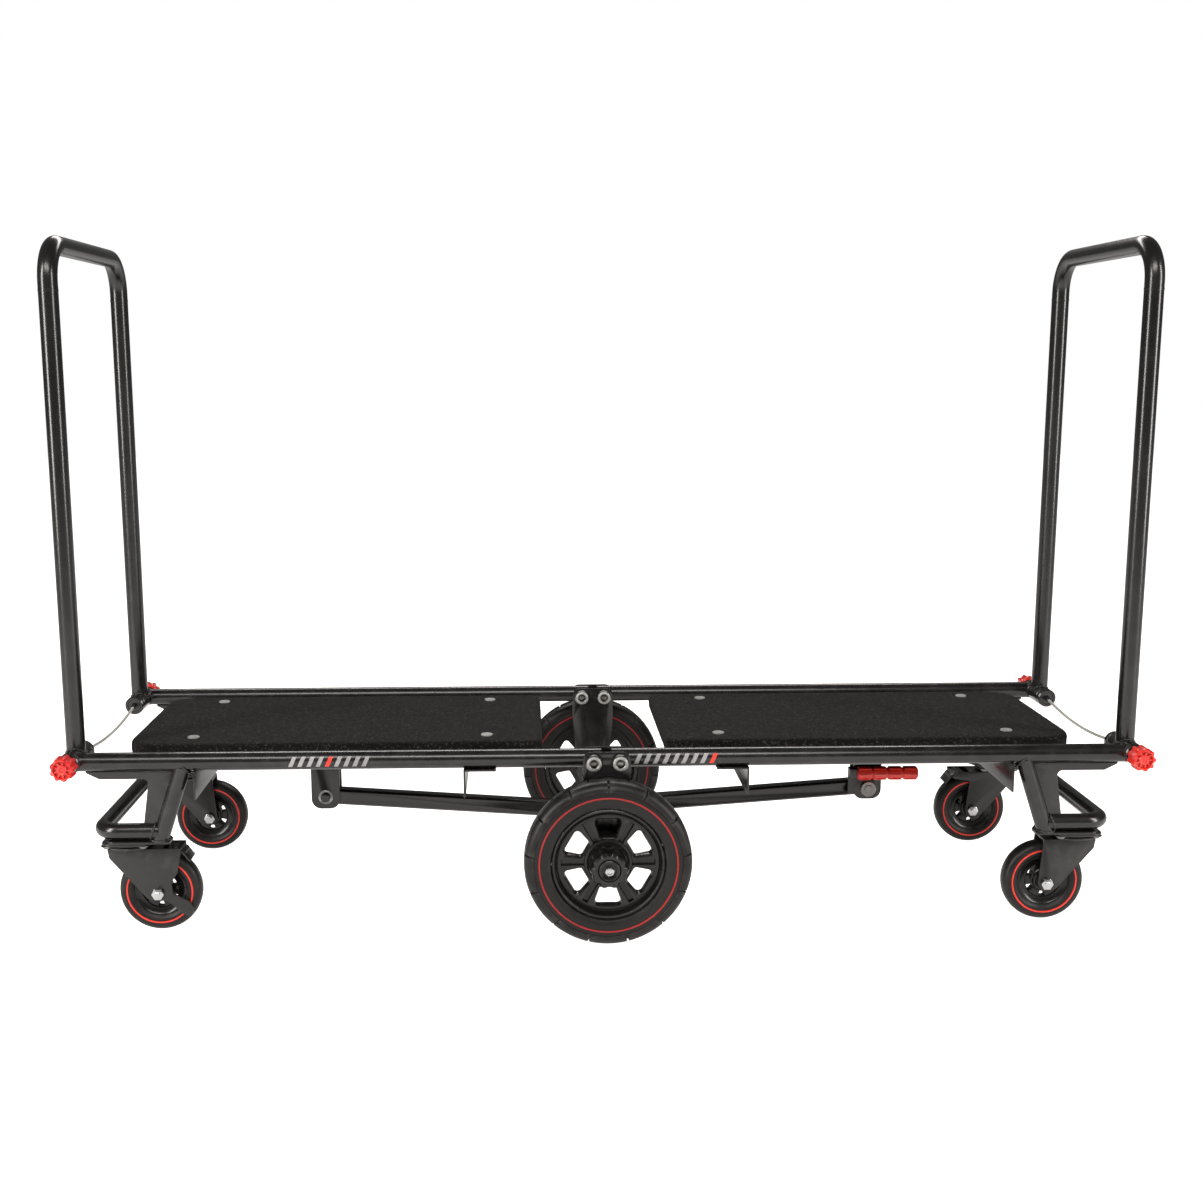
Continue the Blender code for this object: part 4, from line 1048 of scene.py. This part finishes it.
def make_centre():
    plates = [
        cad_shape(f"centre_plate_{layer}_{face}", 0.0012)
        for face in FACES
        for layer in ("outer", "inner")
    ]
    names = [f"centre_plate_{layer}_{face}" for face in FACES for layer in ("outer", "inner")]
    piece("centre_plates", gather(*plates), FRAME_PAINT, "chassis", names)
    heads, rings = [], []
    for side, s in SIDES.items():
        for face, f in FACES.items():
            centre = (s * PIVOT_X, f * RAIL_Y, PIVOT_Z)
            for way, length in ((-1, 0.0119), (1, 0.0099)):
                start = BOLT_FACE * way
                stop = start + way * length
                head = turned(
                    [(0, stop - way * 0.0075), (0.0058, stop - way * 0.0075),
                     (0.0066, stop - way * 0.0006), (0.0074, stop), (0.0088, stop),
                     (0.0108, stop - way * 0.0010), (0.0126, stop - way * 0.0032),
                     (0.0130, stop - way * 0.0050), (0.0130, start + way * 0.0010), (0.0122, start),
                     (0, start)],
                    steps=48,
                )
                key = slab(
                    hexagon(0.0050, 0.3),
                    "XZ",
                    *sorted((stop - way * 0.0080, stop - way * 0.0040)),
                    0.0006,
                )
                heads.append(outward(gather(outward_faces(head), key), face, centre))
                # Painted highlight: a paler steel ring on the rim of each bolt head, standing in for the
                # bright edge that light puts there.
                ring = turned(
                    [(0.0064, stop - way * 0.0012), (0.0074, stop + way * 0.0001),
                     (0.0090, stop + way * 0.0001), (0.0110, stop - way * 0.0010),
                     (0.0116, stop - way * 0.0020)],
                    steps=48,
                    ring=True,
                )
                rings.append(outward(outward_faces(ring), face, centre))
    bolts = [f"pivot_bolt_{side}_{face}" for side in SIDES for face in FACES]
    piece("pivot_bolts", gather(*heads), BOLT_STEEL, "chassis", bolts)
    # The paler rings are a painted highlight on the bolt heads' rims.
    piece("pivot_bolt_highlight_rings", gather(*rings), SCREW_STEEL_AND_BOLT_HIGHLIGHT, "chassis")
    axle = turned([(0, -0.300), (0.0093, -0.300), (0.0093, 0.300), (0, 0.300)], (0, 0, WHEEL_R), steps=40)
    shapes = [axle]
    for face, f in FACES.items():
        nut = slab(hexagon(0.0072, 0.2), "XZ", -AXLE_END_Y, -0.3005, 0.0006)
        bore = turned([(0.0030, 0.0), (0.0044, -0.0006), (0.0044, 0.0)], ring=True)
        shapes.append(outward(gather(nut, moved(bore, (0, -AXLE_END_Y, 0))), face, (0, 0, WHEEL_R)))
        collar = turned(
            [(0.0093, 0.2525), (0.0150, 0.2525), (0.0155, 0.2515), (0.0155, 0.2508), (0.0093, 0.2508)],
            ring=True,
        )
        shapes.append(placed(collar, Matrix.Translation((0, 0, WHEEL_R)) @ Matrix.Diagonal((1, f, 1, 1))))
    piece("centre_axle", gather(*shapes), BRIGHT_STEEL, "chassis", ["axle"])


# ---------------------------------------------------------------- centre wheels


def tread_block(way, span_degrees, steps=8):
    """A curved shoulder block of the tread, from the centre groove out to a raised edge on the sidewall."""
    section = [(0.1180, 0.0018), (WHEEL_R - 0.0005, 0.0018), (WHEEL_R, 0.0026), (WHEEL_R - 0.0003, 0.0120),
               (0.1256, 0.0164), (0.1228, 0.0204), (0.1186, 0.0232), (0.1140, 0.0245), (0.1124, 0.0243),
               (0.1118, 0.0232), (0.1130, 0.0190)]
    rings = []
    for step in range(steps + 1):
        angle = math.radians(span_degrees * (step / steps - 0.5)) - math.pi / 2
        rings.append([(r * math.cos(angle), way * d, r * math.sin(angle)) for r, d in section])
    return outward_faces(soften(skin(rings), 0.0005, angle=50, segments=1))


def make_tyre(face):
    carcass = turned(
        [(RIM_R + 0.0004, 0.0180), (0.0875, 0.0216), (0.0905, 0.0232), (0.0960, 0.0240),
         (0.1010, 0.0243), (0.1070, 0.0243), (0.1100, 0.0240), (0.1112, 0.0232), (0.1165, 0.0222),
         (0.1200, 0.0192), (0.1222, 0.0150), (0.1222, -0.0150), (0.1200, -0.0192), (0.1165, -0.0222),
         (0.1112, -0.0232), (0.1100, -0.0240), (0.1070, -0.0243), (0.1010, -0.0243), (0.0960, -0.0240),
         (0.0905, -0.0232), (0.0875, -0.0216), (RIM_R + 0.0004, -0.0180)],
        steps=144,
        ring=True,
    )
    outer_row = grown(shape_mesh(tread_block(-1, 26.4)), ROUND_AXLE, {"Count": 13}, TYRE_RUBBER)
    inner_row = grown(shape_mesh(tread_block(1, 26.4)), ROUND_AXLE, {"Count": 13}, TYRE_RUBBER)
    placed(inner_row, Matrix.Rotation(math.radians(14), 4, "Y"))
    tyre = outward(gather(carcass, outer_row, inner_row), face, (0, FACES[face] * WHEEL_Y, WHEEL_R))
    piece(f"wheel_tread_{face}", tyre, TYRE_RUBBER, f"wheel_{face}", [f"wheel_tyre_{face}"])
    rings = []
    for way in (-1, 1):
        profile = [(WHEEL_RED_R - 0.0014, way * 0.0238), (WHEEL_RED_R - 0.0011, way * 0.0250),
                   (WHEEL_RED_R + 0.0011, way * 0.0250), (WHEEL_RED_R + 0.0014, way * 0.0238)]
        rings.append(outward_faces(turned(profile, steps=144, ring=True)))
    red = outward(gather(*rings), face, (0, FACES[face] * WHEEL_Y, WHEEL_R))
    piece(f"wheel_red_ring_{face}", red, WHEEL_RED, f"wheel_{face}")


def around(outline, centre, count):
    """Where rays from a centre, evenly spread, cross a convex outline."""
    points = []
    for index in range(count):
        angle = 2 * math.pi * (index + 0.5) / count
        ray = Vector((math.cos(angle), math.sin(angle)))
        best = None
        for a, b in zip(outline, outline[1:] + outline[:1]):
            a, b = Vector(a) - centre, Vector(b) - centre
            span = b - a
            bend = ray.x * span.y - ray.y * span.x
            if abs(bend) < 1e-12:
                continue
            far = (a.x * span.y - a.y * span.x) / bend
            share = (a.x * ray.y - a.y * ray.x) / bend
            if far > 0 and -1e-9 <= share <= 1 + 1e-9:
                best = far if best is None else max(best, far)
        points.append(centre + ray * best)
    return points


def sector(low_r, high_r, inset):
    """A sixth of a ring about the top spoke gap, drawn in from its two straight sides."""
    corners = []
    for radius, way in ((low_r, -1), (high_r, 1)):
        reach = math.radians(30) - math.asin(inset / radius)
        for step in range(9):
            angle = math.pi / 2 - way * reach * (1 - step / 4)
            corners.append(Vector((radius * math.cos(angle), radius * math.sin(angle))))
    return corners


def wheel_window():
    """A sixth of the wheel's web: a bevelled window, and half of the slot along each spoke beside it."""
    count, centre = 112, Vector((0, 0.0535))

    def window(grow):
        corners = [(-0.0128 - grow, 0.0392 - grow, 0.0045 + grow),
                   (0.0128 + grow, 0.0392 - grow, 0.0045 + grow),
                   (0.0222 + grow, 0.0672 + grow, 0.0060 + grow),
                   (-0.0222 - grow, 0.0672 + grow, 0.0060 + grow)]
        return [tuple(point) for point in rounded_outline(corners, 6)]

    full = sector(0.0300, 0.0760, 0.0)
    raised = sector(0.0370, 0.0722, 0.0038)
    top = sector(0.0364, 0.0726, 0.0046)
    levels = [(full, 0.0060), (full, -0.0030), (raised, -0.0030), (top, -0.0086),
              (window(0.0024), -0.0088), (window(0.0008), -0.0080), (window(0.0), -0.0062),
              (window(-0.0012), 0.0), (window(0.0), 0.0060)]
    rings = []
    for outline, depth in levels:
        ring = [
            (point.x, depth, point.y)
            for point in around([tuple(point) for point in outline], centre, count)
        ]
        rings.append(ring)
    return outward_faces(skin(rings, True))


def make_rim(face):
    """Moulded wheel centre: bead seat, deep dish, web with six windows, hub and scalloped cap."""
    barrel = turned(
        [(RIM_R, -0.0186), (RIM_R, 0.0185), (0.0800, 0.0185), (0.0770, 0.0060), (0.0705, 0.0050),
         (0.0705, -0.0076), (0.0714, -0.0088), (0.0742, -0.0090), (0.0762, -0.0100), (0.0782, -0.0140),
         (0.0800, -0.0182), (0.0815, -0.0194), (0.0840, -0.0196)],
        steps=120,
        ring=True,
    )
    web = grown(shape_mesh(wheel_window()), ROUND_AXLE, {"Count": 6}, WHEEL_PLASTIC)
    hub = turned(
        [(0, 0.024), (0.0275, 0.024), (0.0285, 0.022), (0.0300, 0.006), (0.0350, 0.0045),
         (0.0366, -0.0030), (0.0366, -0.0076), (0.0356, -0.0088), (0.0325, -0.0094), (0.0305, -0.0120),
         (0.0290, -0.0150), (0, -0.0150)],
        steps=72,
    )
    front = HUB_CAP_FACE
    cap = turned(
        [(0, -0.0140), (HUB_CAP_R - 0.0015, -0.0140), (HUB_CAP_R, -0.0160), (HUB_CAP_R, -front + 0.0070),
         (HUB_CAP_R - 0.0022, -front + 0.0030), (HUB_CAP_R - 0.0070, -front + 0.0010),
         (0.0175, -front + 0.0014), (0.0175, -0.0200), (0, -0.0200)],
        steps=180,
        lobes=10,
        lobe_depth=0.0030,
    )
    flat = turned(
        [(0, -front + 0.0030), (0.0096, -front + 0.0030), (0.0104, -front + 0.0014),
         (0.0146, -front + 0.0002), (0.0156, -front + 0.0008), (0.0162, -front + 0.0034),
         (0.0162, -0.0200), (0, -0.0200)],
        steps=60,
    )
    centre = (0, FACES[face] * WHEEL_Y, WHEEL_R)
    shapes = [outward_faces(shape) for shape in (barrel, web, hub, cap, flat)]
    rim = outward(gather(*shapes), face, centre)
    piece(f"wheel_centre_{face}", rim, WHEEL_PLASTIC, f"wheel_{face}", [f"wheel_rim_{face}"])


# ---------------------------------------------------------------- casters


def caster_spoke():
    outline = rounded_outline(
        [(0.012, -0.0058, 0), (0.030, -0.0096, 0.002), (0.030, 0.0096, 0.002), (0.012, 0.0058, 0)],
        3,
    )
    return slab(outline, "XZ", -0.0062, 0.0062, 0.0014)


def make_caster_wheel(side, face):
    name = f"{side}_{face}"
    s, f = SIDES[side], FACES[face]
    tyre = turned(
        [(0.0400, 0.0105), (0.0425, 0.0132), (0.0460, 0.0150), (0.0500, 0.0155), (0.0550, 0.0152),
         (0.0590, 0.0135), (0.0618, 0.0105), (0.0631, 0.0060), (CASTER_R, 0.0), (0.0631, -0.0060),
         (0.0618, -0.0105), (0.0590, -0.0135), (0.0550, -0.0152), (0.0500, -0.0155), (0.0460, -0.0150),
         (0.0425, -0.0132), (0.0400, -0.0105)],
        steps=96,
        ring=True,
    )
    centre = (s * CASTER_X, f * CASTER_Y, CASTER_R)
    body = f"caster_wheel_body_{name}"
    piece(
        f"caster_tyre_{name}",
        outward(tyre, face, centre),
        TYRE_RUBBER,
        body,
        [f"caster_wheel_{name}"],
    )
    rings = []
    for way in (-1, 1):
        profile = [(0.0487, way * 0.0148), (0.0492, way * 0.0162), (0.0513, way * 0.0162),
                   (0.0518, way * 0.0148)]
        rings.append(turned(profile, steps=96, ring=True))
    piece(f"caster_red_ring_{name}", outward(gather(*rings), face, centre), RED_RUBBER, body)
    felloe = turned(
        [(0.0415, 0.0100), (0.0410, -0.0100), (0.0380, -0.0112), (0.0350, -0.0090), (0.0290, -0.0080),
         (0.0270, -0.0060), (0.0270, 0.0060), (0.0290, 0.0080), (0.0350, 0.0090), (0.0380, 0.0112)],
        steps=72,
        ring=True,
    )
    hub = turned(
        [(0.0045, 0.0172), (0.0120, 0.0172), (0.0130, 0.0160), (0.0136, 0.0120), (0.0160, 0.0116),
         (0.0172, 0.0080), (0.0185, 0.0070), (0.0185, -0.0070), (0.0172, -0.0080), (0.0160, -0.0116),
         (0.0136, -0.0120), (0.0130, -0.0160), (0.0120, -0.0172), (0.0045, -0.0172)],
        steps=48,
        ring=True,
    )
    spokes = grown(shape_mesh(caster_spoke()), ROUND_AXLE, {"Count": 6}, WHEEL_PLASTIC)
    wheel = outward(gather(felloe, hub, spokes), face, centre)
    piece(f"caster_centre_{name}", wheel, WHEEL_PLASTIC, body)


def make_caster_fork(side, face):
    name = f"{side}_{face}"
    s, f = SIDES[side], FACES[face]
    y = f * CASTER_Y
    fork = cad_shape(f"caster_fork_{name}", 0.0008)
    lower_race = turned(
        [(0.0, FORK_TOP_Z - 0.0030), (0.0225, FORK_TOP_Z - 0.0030), (0.0262, FORK_TOP_Z - 0.0016),
         (0.0268, FORK_TOP_Z + 0.0001), (0.0, FORK_TOP_Z + 0.0001)],
        (s * SWIVEL_X, y, 0),
        "Z",
        1,
        48,
    )
    piece(
        f"caster_yoke_{name}",
        gather(fork, lower_race),
        BLACK_STEEL,
        f"caster_swivel_{name}",
        [f"caster_fork_{name}"],
    )
    ends = []
    for way in (-1, 1):
        head = gather(
            slab(hexagon(0.0099), "XY", 0.0, 0.0090, 0.0011),
            outward_faces(
                turned(
                    [(0, 0.0088), (0.0042, 0.0088), (0.0042, 0.0100), (0.0036, 0.0104), (0, 0.0104)],
                    axis="Z",
                    steps=24,
                ),
            ),
        )
        turn = Matrix.Rotation(math.radians(-90 * way), 4, "X")
        ends.append(placed(head, Matrix.Translation((s * CASTER_X, y + way * FORK_HALF_W, CASTER_R)) @ turn))
    piece(f"caster_axle_bolt_{name}", gather(*ends), BRIGHT_STEEL, f"caster_swivel_{name}")


def make_caster_plate(side, face):
    name = f"{side}_{face}"
    s = SIDES[side]
    low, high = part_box(f"caster_plate_{name}")
    y = (low.y + high.y) / 2
    corners = ((low.x, low.y), (high.x, low.y), (high.x, high.y), (low.x, high.y))
    plate_outline = [(x, edge_y, CASTER_PLATE_CORNER) for x, edge_y in corners]
    plate = outward_faces(slab(rounded_outline(plate_outline), "XY", high.z - 0.0045, high.z, 0.0011))
    race = turned(
        [(0, low.z), (0.0300, low.z), (0.0348, low.z + 0.0010), (0.0355, low.z + 0.0030),
         (0.0344, low.z + 0.0048), (0.0326, low.z + 0.0056), (0.0344, low.z + 0.0066),
         (0.0352, low.z + 0.0086), (0, low.z + 0.0096)],
        (s * SWIVEL_X, y, 0),
        "Z",
        1,
        56,
    )
    piece(f"caster_top_plate_{name}", gather(plate, race), BLACK_STEEL, HALF_BODY[side],
          [f"caster_plate_{name}"])
    heads = []
    for dx in (-0.028, 0.027):
        for dy in (-0.029, 0.029):
            head = hex_head(0.0062, 0.0056)
            top = high.z + 0.0046
            if abs(y + dy) < RAIL_Y - 0.004:
                heads.append(moved(head, (s * SWIVEL_X + dx, y + dy, top)))
            under = placed(hex_head(0.0062, 0.0048), Matrix.Rotation(math.pi, 4, "X"))
            heads.append(moved(under, (s * SWIVEL_X + dx, y + dy, high.z - 0.0045)))
    piece(f"caster_plate_bolts_{name}", gather(*heads), BOLT_STEEL, HALF_BODY[side])


def make_brake(side, face):
    """A pressed foot pedal over the wheel, with three raised ribs across it."""
    name = f"{side}_{face}"
    s, f = SIDES[side], FACES[face]
    shapes = [cad_shape(f"brake_pedal_{name}", 0.0009)]
    for x, z in ((0.6705, 0.1322), (0.6635, 0.1330), (0.6560, 0.1302), (0.6490, 0.1248)):
        rib = turned(
            [(0, -0.0150), (0.0012, -0.0150), (0.0017, -0.0144), (0.0017, 0.0144), (0.0012, 0.0150),
             (0, 0.0150)],
            (s * x, f * CASTER_Y, z),
            steps=12,
        )
        shapes.append(outward_faces(rib))
    piece(
        f"brake_lever_{name}",
        gather(*shapes),
        BLACK_STEEL,
        f"brake_{name}",
        [f"brake_pedal_{name}"],
    )


# ---------------------------------------------------------------- struts and latch


def make_struts():
    piece(
        "left_strut_bar",
        cad_shape("left_strut", 0.0014),
        FRAME_PAINT,
        "chassis",
        ["left_strut"],
    )
    piece("right_strut_bar", cad_shape("right_strut", 0.0014), FRAME_PAINT, "right_strut_arm",
          ["right_strut"])
    for side in SIDES:
        node = f"{side}_strut_bracket"
        piece(
            f"{side}_strut_hanger",
            cad_shape(node, 0.0009),
            FRAME_PAINT,
            HALF_BODY[side],
            [node],
        )
    piece("latch_arm", cad_shape("latch_lever", 0.0009), BLACK_STEEL, "latch", ["latch_lever"])
    heads = []
    boss_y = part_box("left_strut_bracket")[0].y
    head = placed(hex_head(0.0082, 0.0060), Matrix.Rotation(math.radians(90), 4, "X"))
    heads.append(moved(head, (-STRUT_END_X, boss_y + 0.0062, STRUT_END_Z)))
    piece("left_strut_bolt", gather(*heads), BOLT_STEEL, "chassis")
    cap = turned(
        [(0, -0.0022), (0.0060, -0.0022), (0.0072, -0.0014), (0.0120, -0.0014), (0.0132, -0.0004),
         (0.0132, 0.001), (0, 0.001)],
        (STRUT_END_X, 0.0, STRUT_END_Z),
        steps=40,
    )
    piece("latch_boss_cap", moved(cap, (0, -0.0135, 0)), BOLT_STEEL, "latch")


def make_grip():
    """A red release grip of four ribbed segments."""
    radius = (grip_high.z - grip_low.z) / 2
    middle = (grip_low + grip_high) / 2
    length = grip_high.x - grip_low.x
    part = length / 4
    segment = turned(
        [(0, 0), (radius * 0.80, 0), (radius * 0.80, 0.0012), (radius * 0.97, 0.0022), (radius, 0.0040),
         (radius * 0.93, part / 2), (radius, part - 0.0040), (radius * 0.97, part - 0.0022),
         (radius * 0.80, part - 0.0012), (radius * 0.80, part), (0, part)],
        (0, 0, 0),
        "X",
        1,
        40,
    )
    fin = brick((0.0025, -0.0012, radius * 0.85), (part - 0.0025, 0.0012, radius * 1.10), 0.0006)
    fins = [
        placed(fin.copy(), Matrix.Rotation(math.radians(angle), 4, "X"))
        for angle in (40, 90, 140, 220, 270, 320)
    ]
    fin.free()
    row = grown(shape_mesh(gather(segment, *fins)), ROW, {"Count": 4, "Step": (part, 0.0, 0.0)}, RED_PLASTIC)
    row = moved(row, (grip_low.x, middle.y, middle.z))
    piece("release_grip", row, RED_PLASTIC, "latch", ["latch_grip"])


# ---------------------------------------------------------------- plain marks on the near rails


def rail_patch(start_x, end_x, low_angle, high_angle, slant, lift, steps=10):
    """A thin skin on the near side of a rail, between two angles above and below its facing line."""
    rings = []
    for step in range(steps + 1):
        share = step / steps
        angle = math.radians(low_angle + (high_angle - low_angle) * share)
        lean = slant * (share - 0.5)
        inner, outer = TUBE_R - 0.0004, TUBE_R + lift
        ring = []
        for radius, x in ((inner, start_x), (outer, start_x), (outer, end_x), (inner, end_x)):
            y = -RAIL_Y - radius * math.cos(angle)
            z = RAIL_Z + radius * math.sin(angle)
            ring.append(Vector((x + lean, y, z)))
        rings.append(ring)
    return skin(rings)


def make_marks(side, start_x, end_x, red_share):
    """A dark band with slanted pale slashes and one red slash."""
    body = HALF_BODY[side]
    band = rail_patch(start_x, end_x, -42, 42, 0.0, 0.00012)
    piece(f"{side}_rail_band", band, MARK_BLACK, body)
    count = 9
    pale = []
    width = (end_x - start_x) / count
    for index in range(count):
        x = start_x + width * (index + 0.30)
        slash = rail_patch(x, x + width * 0.46, -30, 34, 0.007, 0.00022)
        if index == round(red_share * (count - 1)):
            piece(f"{side}_rail_red_slash", slash, RED_RUBBER, body)
        else:
            pale.append(slash)
    piece(f"{side}_rail_slashes", gather(*pale), MARK_GREY, body)


# ---------------------------------------------------------------- assembly

for side_name in SIDES:
    for face_name in FACES:
        make_rail(side_name, face_name)
        make_tower(side_name, face_name)
        make_knob(side_name, face_name)
        make_caster_plate(side_name, face_name)
        make_caster_fork(side_name, face_name)
        make_caster_wheel(side_name, face_name)
    make_rail_welds(side_name)
    make_cross_members(side_name)
    make_bumper(side_name)
    make_deck(side_name)
    make_handle(side_name)
make_centre()
for face_name in FACES:
    make_tyre(face_name)
    make_rim(face_name)
make_brake("left", "near")
make_brake("right", "far")
make_struts()
make_grip()
make_marks("left", -0.482, -0.358, 0.45)
make_marks("right", 0.040, 0.169, 1.0)


# ---------------------------------------------------------------- floor, light and camera


def make_floor():
    mesh = bpy.data.meshes.new("floor")
    reach = 12.0
    mesh.from_pydata(
        [(-reach, -reach, 0), (reach, -reach, 0), (reach, reach, 0), (-reach, reach, 0)],
        [],
        [(0, 1, 2, 3)],
    )
    floor = bpy.data.objects.new("floor", mesh)
    material = bpy.data.materials.new("pale_floor")
    material.use_nodes = True
    shader = material.node_tree.nodes["Principled BSDF"]
    shader.inputs["Base Color"].default_value = (0.85, 0.85, 0.85, 1.0)
    shader.inputs["Roughness"].default_value = 0.9
    shader.inputs["Specular IOR Level"].default_value = 0.0
    shader.inputs["Emission Color"].default_value = (1.0, 0.975, 0.945, 1.0)
    tree = material.node_tree
    seen = put(tree, "ShaderNodeLightPath").outputs["Is Camera Ray"]
    glow = put(tree, "ShaderNodeMapRange", {"Value": seen, "To Min": 0.40, "To Max": 1.15})
    tree.links.new(glow.outputs[0], shader.inputs["Emission Strength"])
    mesh.materials.append(material)
    bpy.context.scene.collection.objects.link(floor)
    floor.location.z = -0.0005


def soft_light(name, place, target, size, power, colour=(1.0, 0.955, 0.92)):
    lamp = bpy.data.lights.new(name, "AREA")
    lamp.shape = "RECTANGLE"
    lamp.size, lamp.size_y = size
    lamp.energy = power
    lamp.color = colour
    obj = bpy.data.objects.new(name, lamp)
    bpy.context.scene.collection.objects.link(obj)
    obj.location = place
    obj.rotation_euler = (Vector(target) - Vector(place)).to_track_quat("-Z", "Y").to_euler()
    obj.visible_camera = False


def make_world():
    world = bpy.data.worlds.new("studio")
    world.use_nodes = True
    tree = world.node_tree
    background = tree.nodes["Background"]
    background.inputs["Color"].default_value = (1.0, 1.0, 1.0, 1.0)
    seen = put(tree, "ShaderNodeLightPath").outputs["Is Camera Ray"]
    strength = put(tree, "ShaderNodeMapRange", {"Value": seen, "To Min": 0.12, "To Max": 1.0})
    tree.links.new(strength.outputs[0], background.inputs["Strength"])
    bpy.context.scene.world = world
    bpy.context.scene.view_settings.view_transform = "Standard"


IMAGE_SIZE = 1202
CAMERA_PLACE = (-0.1265, -2.4841, 0.8660)
CAMERA_YAW, CAMERA_PITCH, CAMERA_ROLL = -1.554, 10.274, -0.135
CAMERA_FOCAL = 1526.1
CAMERA_OFFSET = (-37.8, 38.9)


def make_camera():
    camera = bpy.data.cameras.new("camera")
    camera.sensor_width = 36.0
    camera.lens = 36.0 * CAMERA_FOCAL / IMAGE_SIZE
    camera.shift_x = -CAMERA_OFFSET[0] / IMAGE_SIZE
    camera.shift_y = CAMERA_OFFSET[1] / IMAGE_SIZE
    camera.clip_end = 100.0
    obj = bpy.data.objects.new("camera", camera)
    bpy.context.scene.collection.objects.link(obj)
    yaw = Matrix.Rotation(math.radians(CAMERA_YAW), 4, "Z")
    tilt = Matrix.Rotation(math.radians(90 - CAMERA_PITCH), 4, "X")
    roll = Matrix.Rotation(math.radians(CAMERA_ROLL), 4, "Z")
    obj.matrix_world = Matrix.Translation(CAMERA_PLACE) @ yaw @ tilt @ roll
    bpy.context.scene.camera = obj


make_floor()
make_world()
soft_light("front_panel", (-0.3, -2.9, 3.0), (0, 0, 0.4), (3.0, 0.9), 72)
soft_light("left_panel", (-2.7, -1.9, 1.5), (0, 0, 0.7), (0.6, 2.2), 80)
soft_light("right_panel", (2.9, -1.7, 1.4), (0, 0, 0.6), (0.5, 2.2), 62)
soft_light("back_panel", (0, 2.4, 2.8), (0, 0, 0.3), (3.2, 0.6), 60)
make_camera()
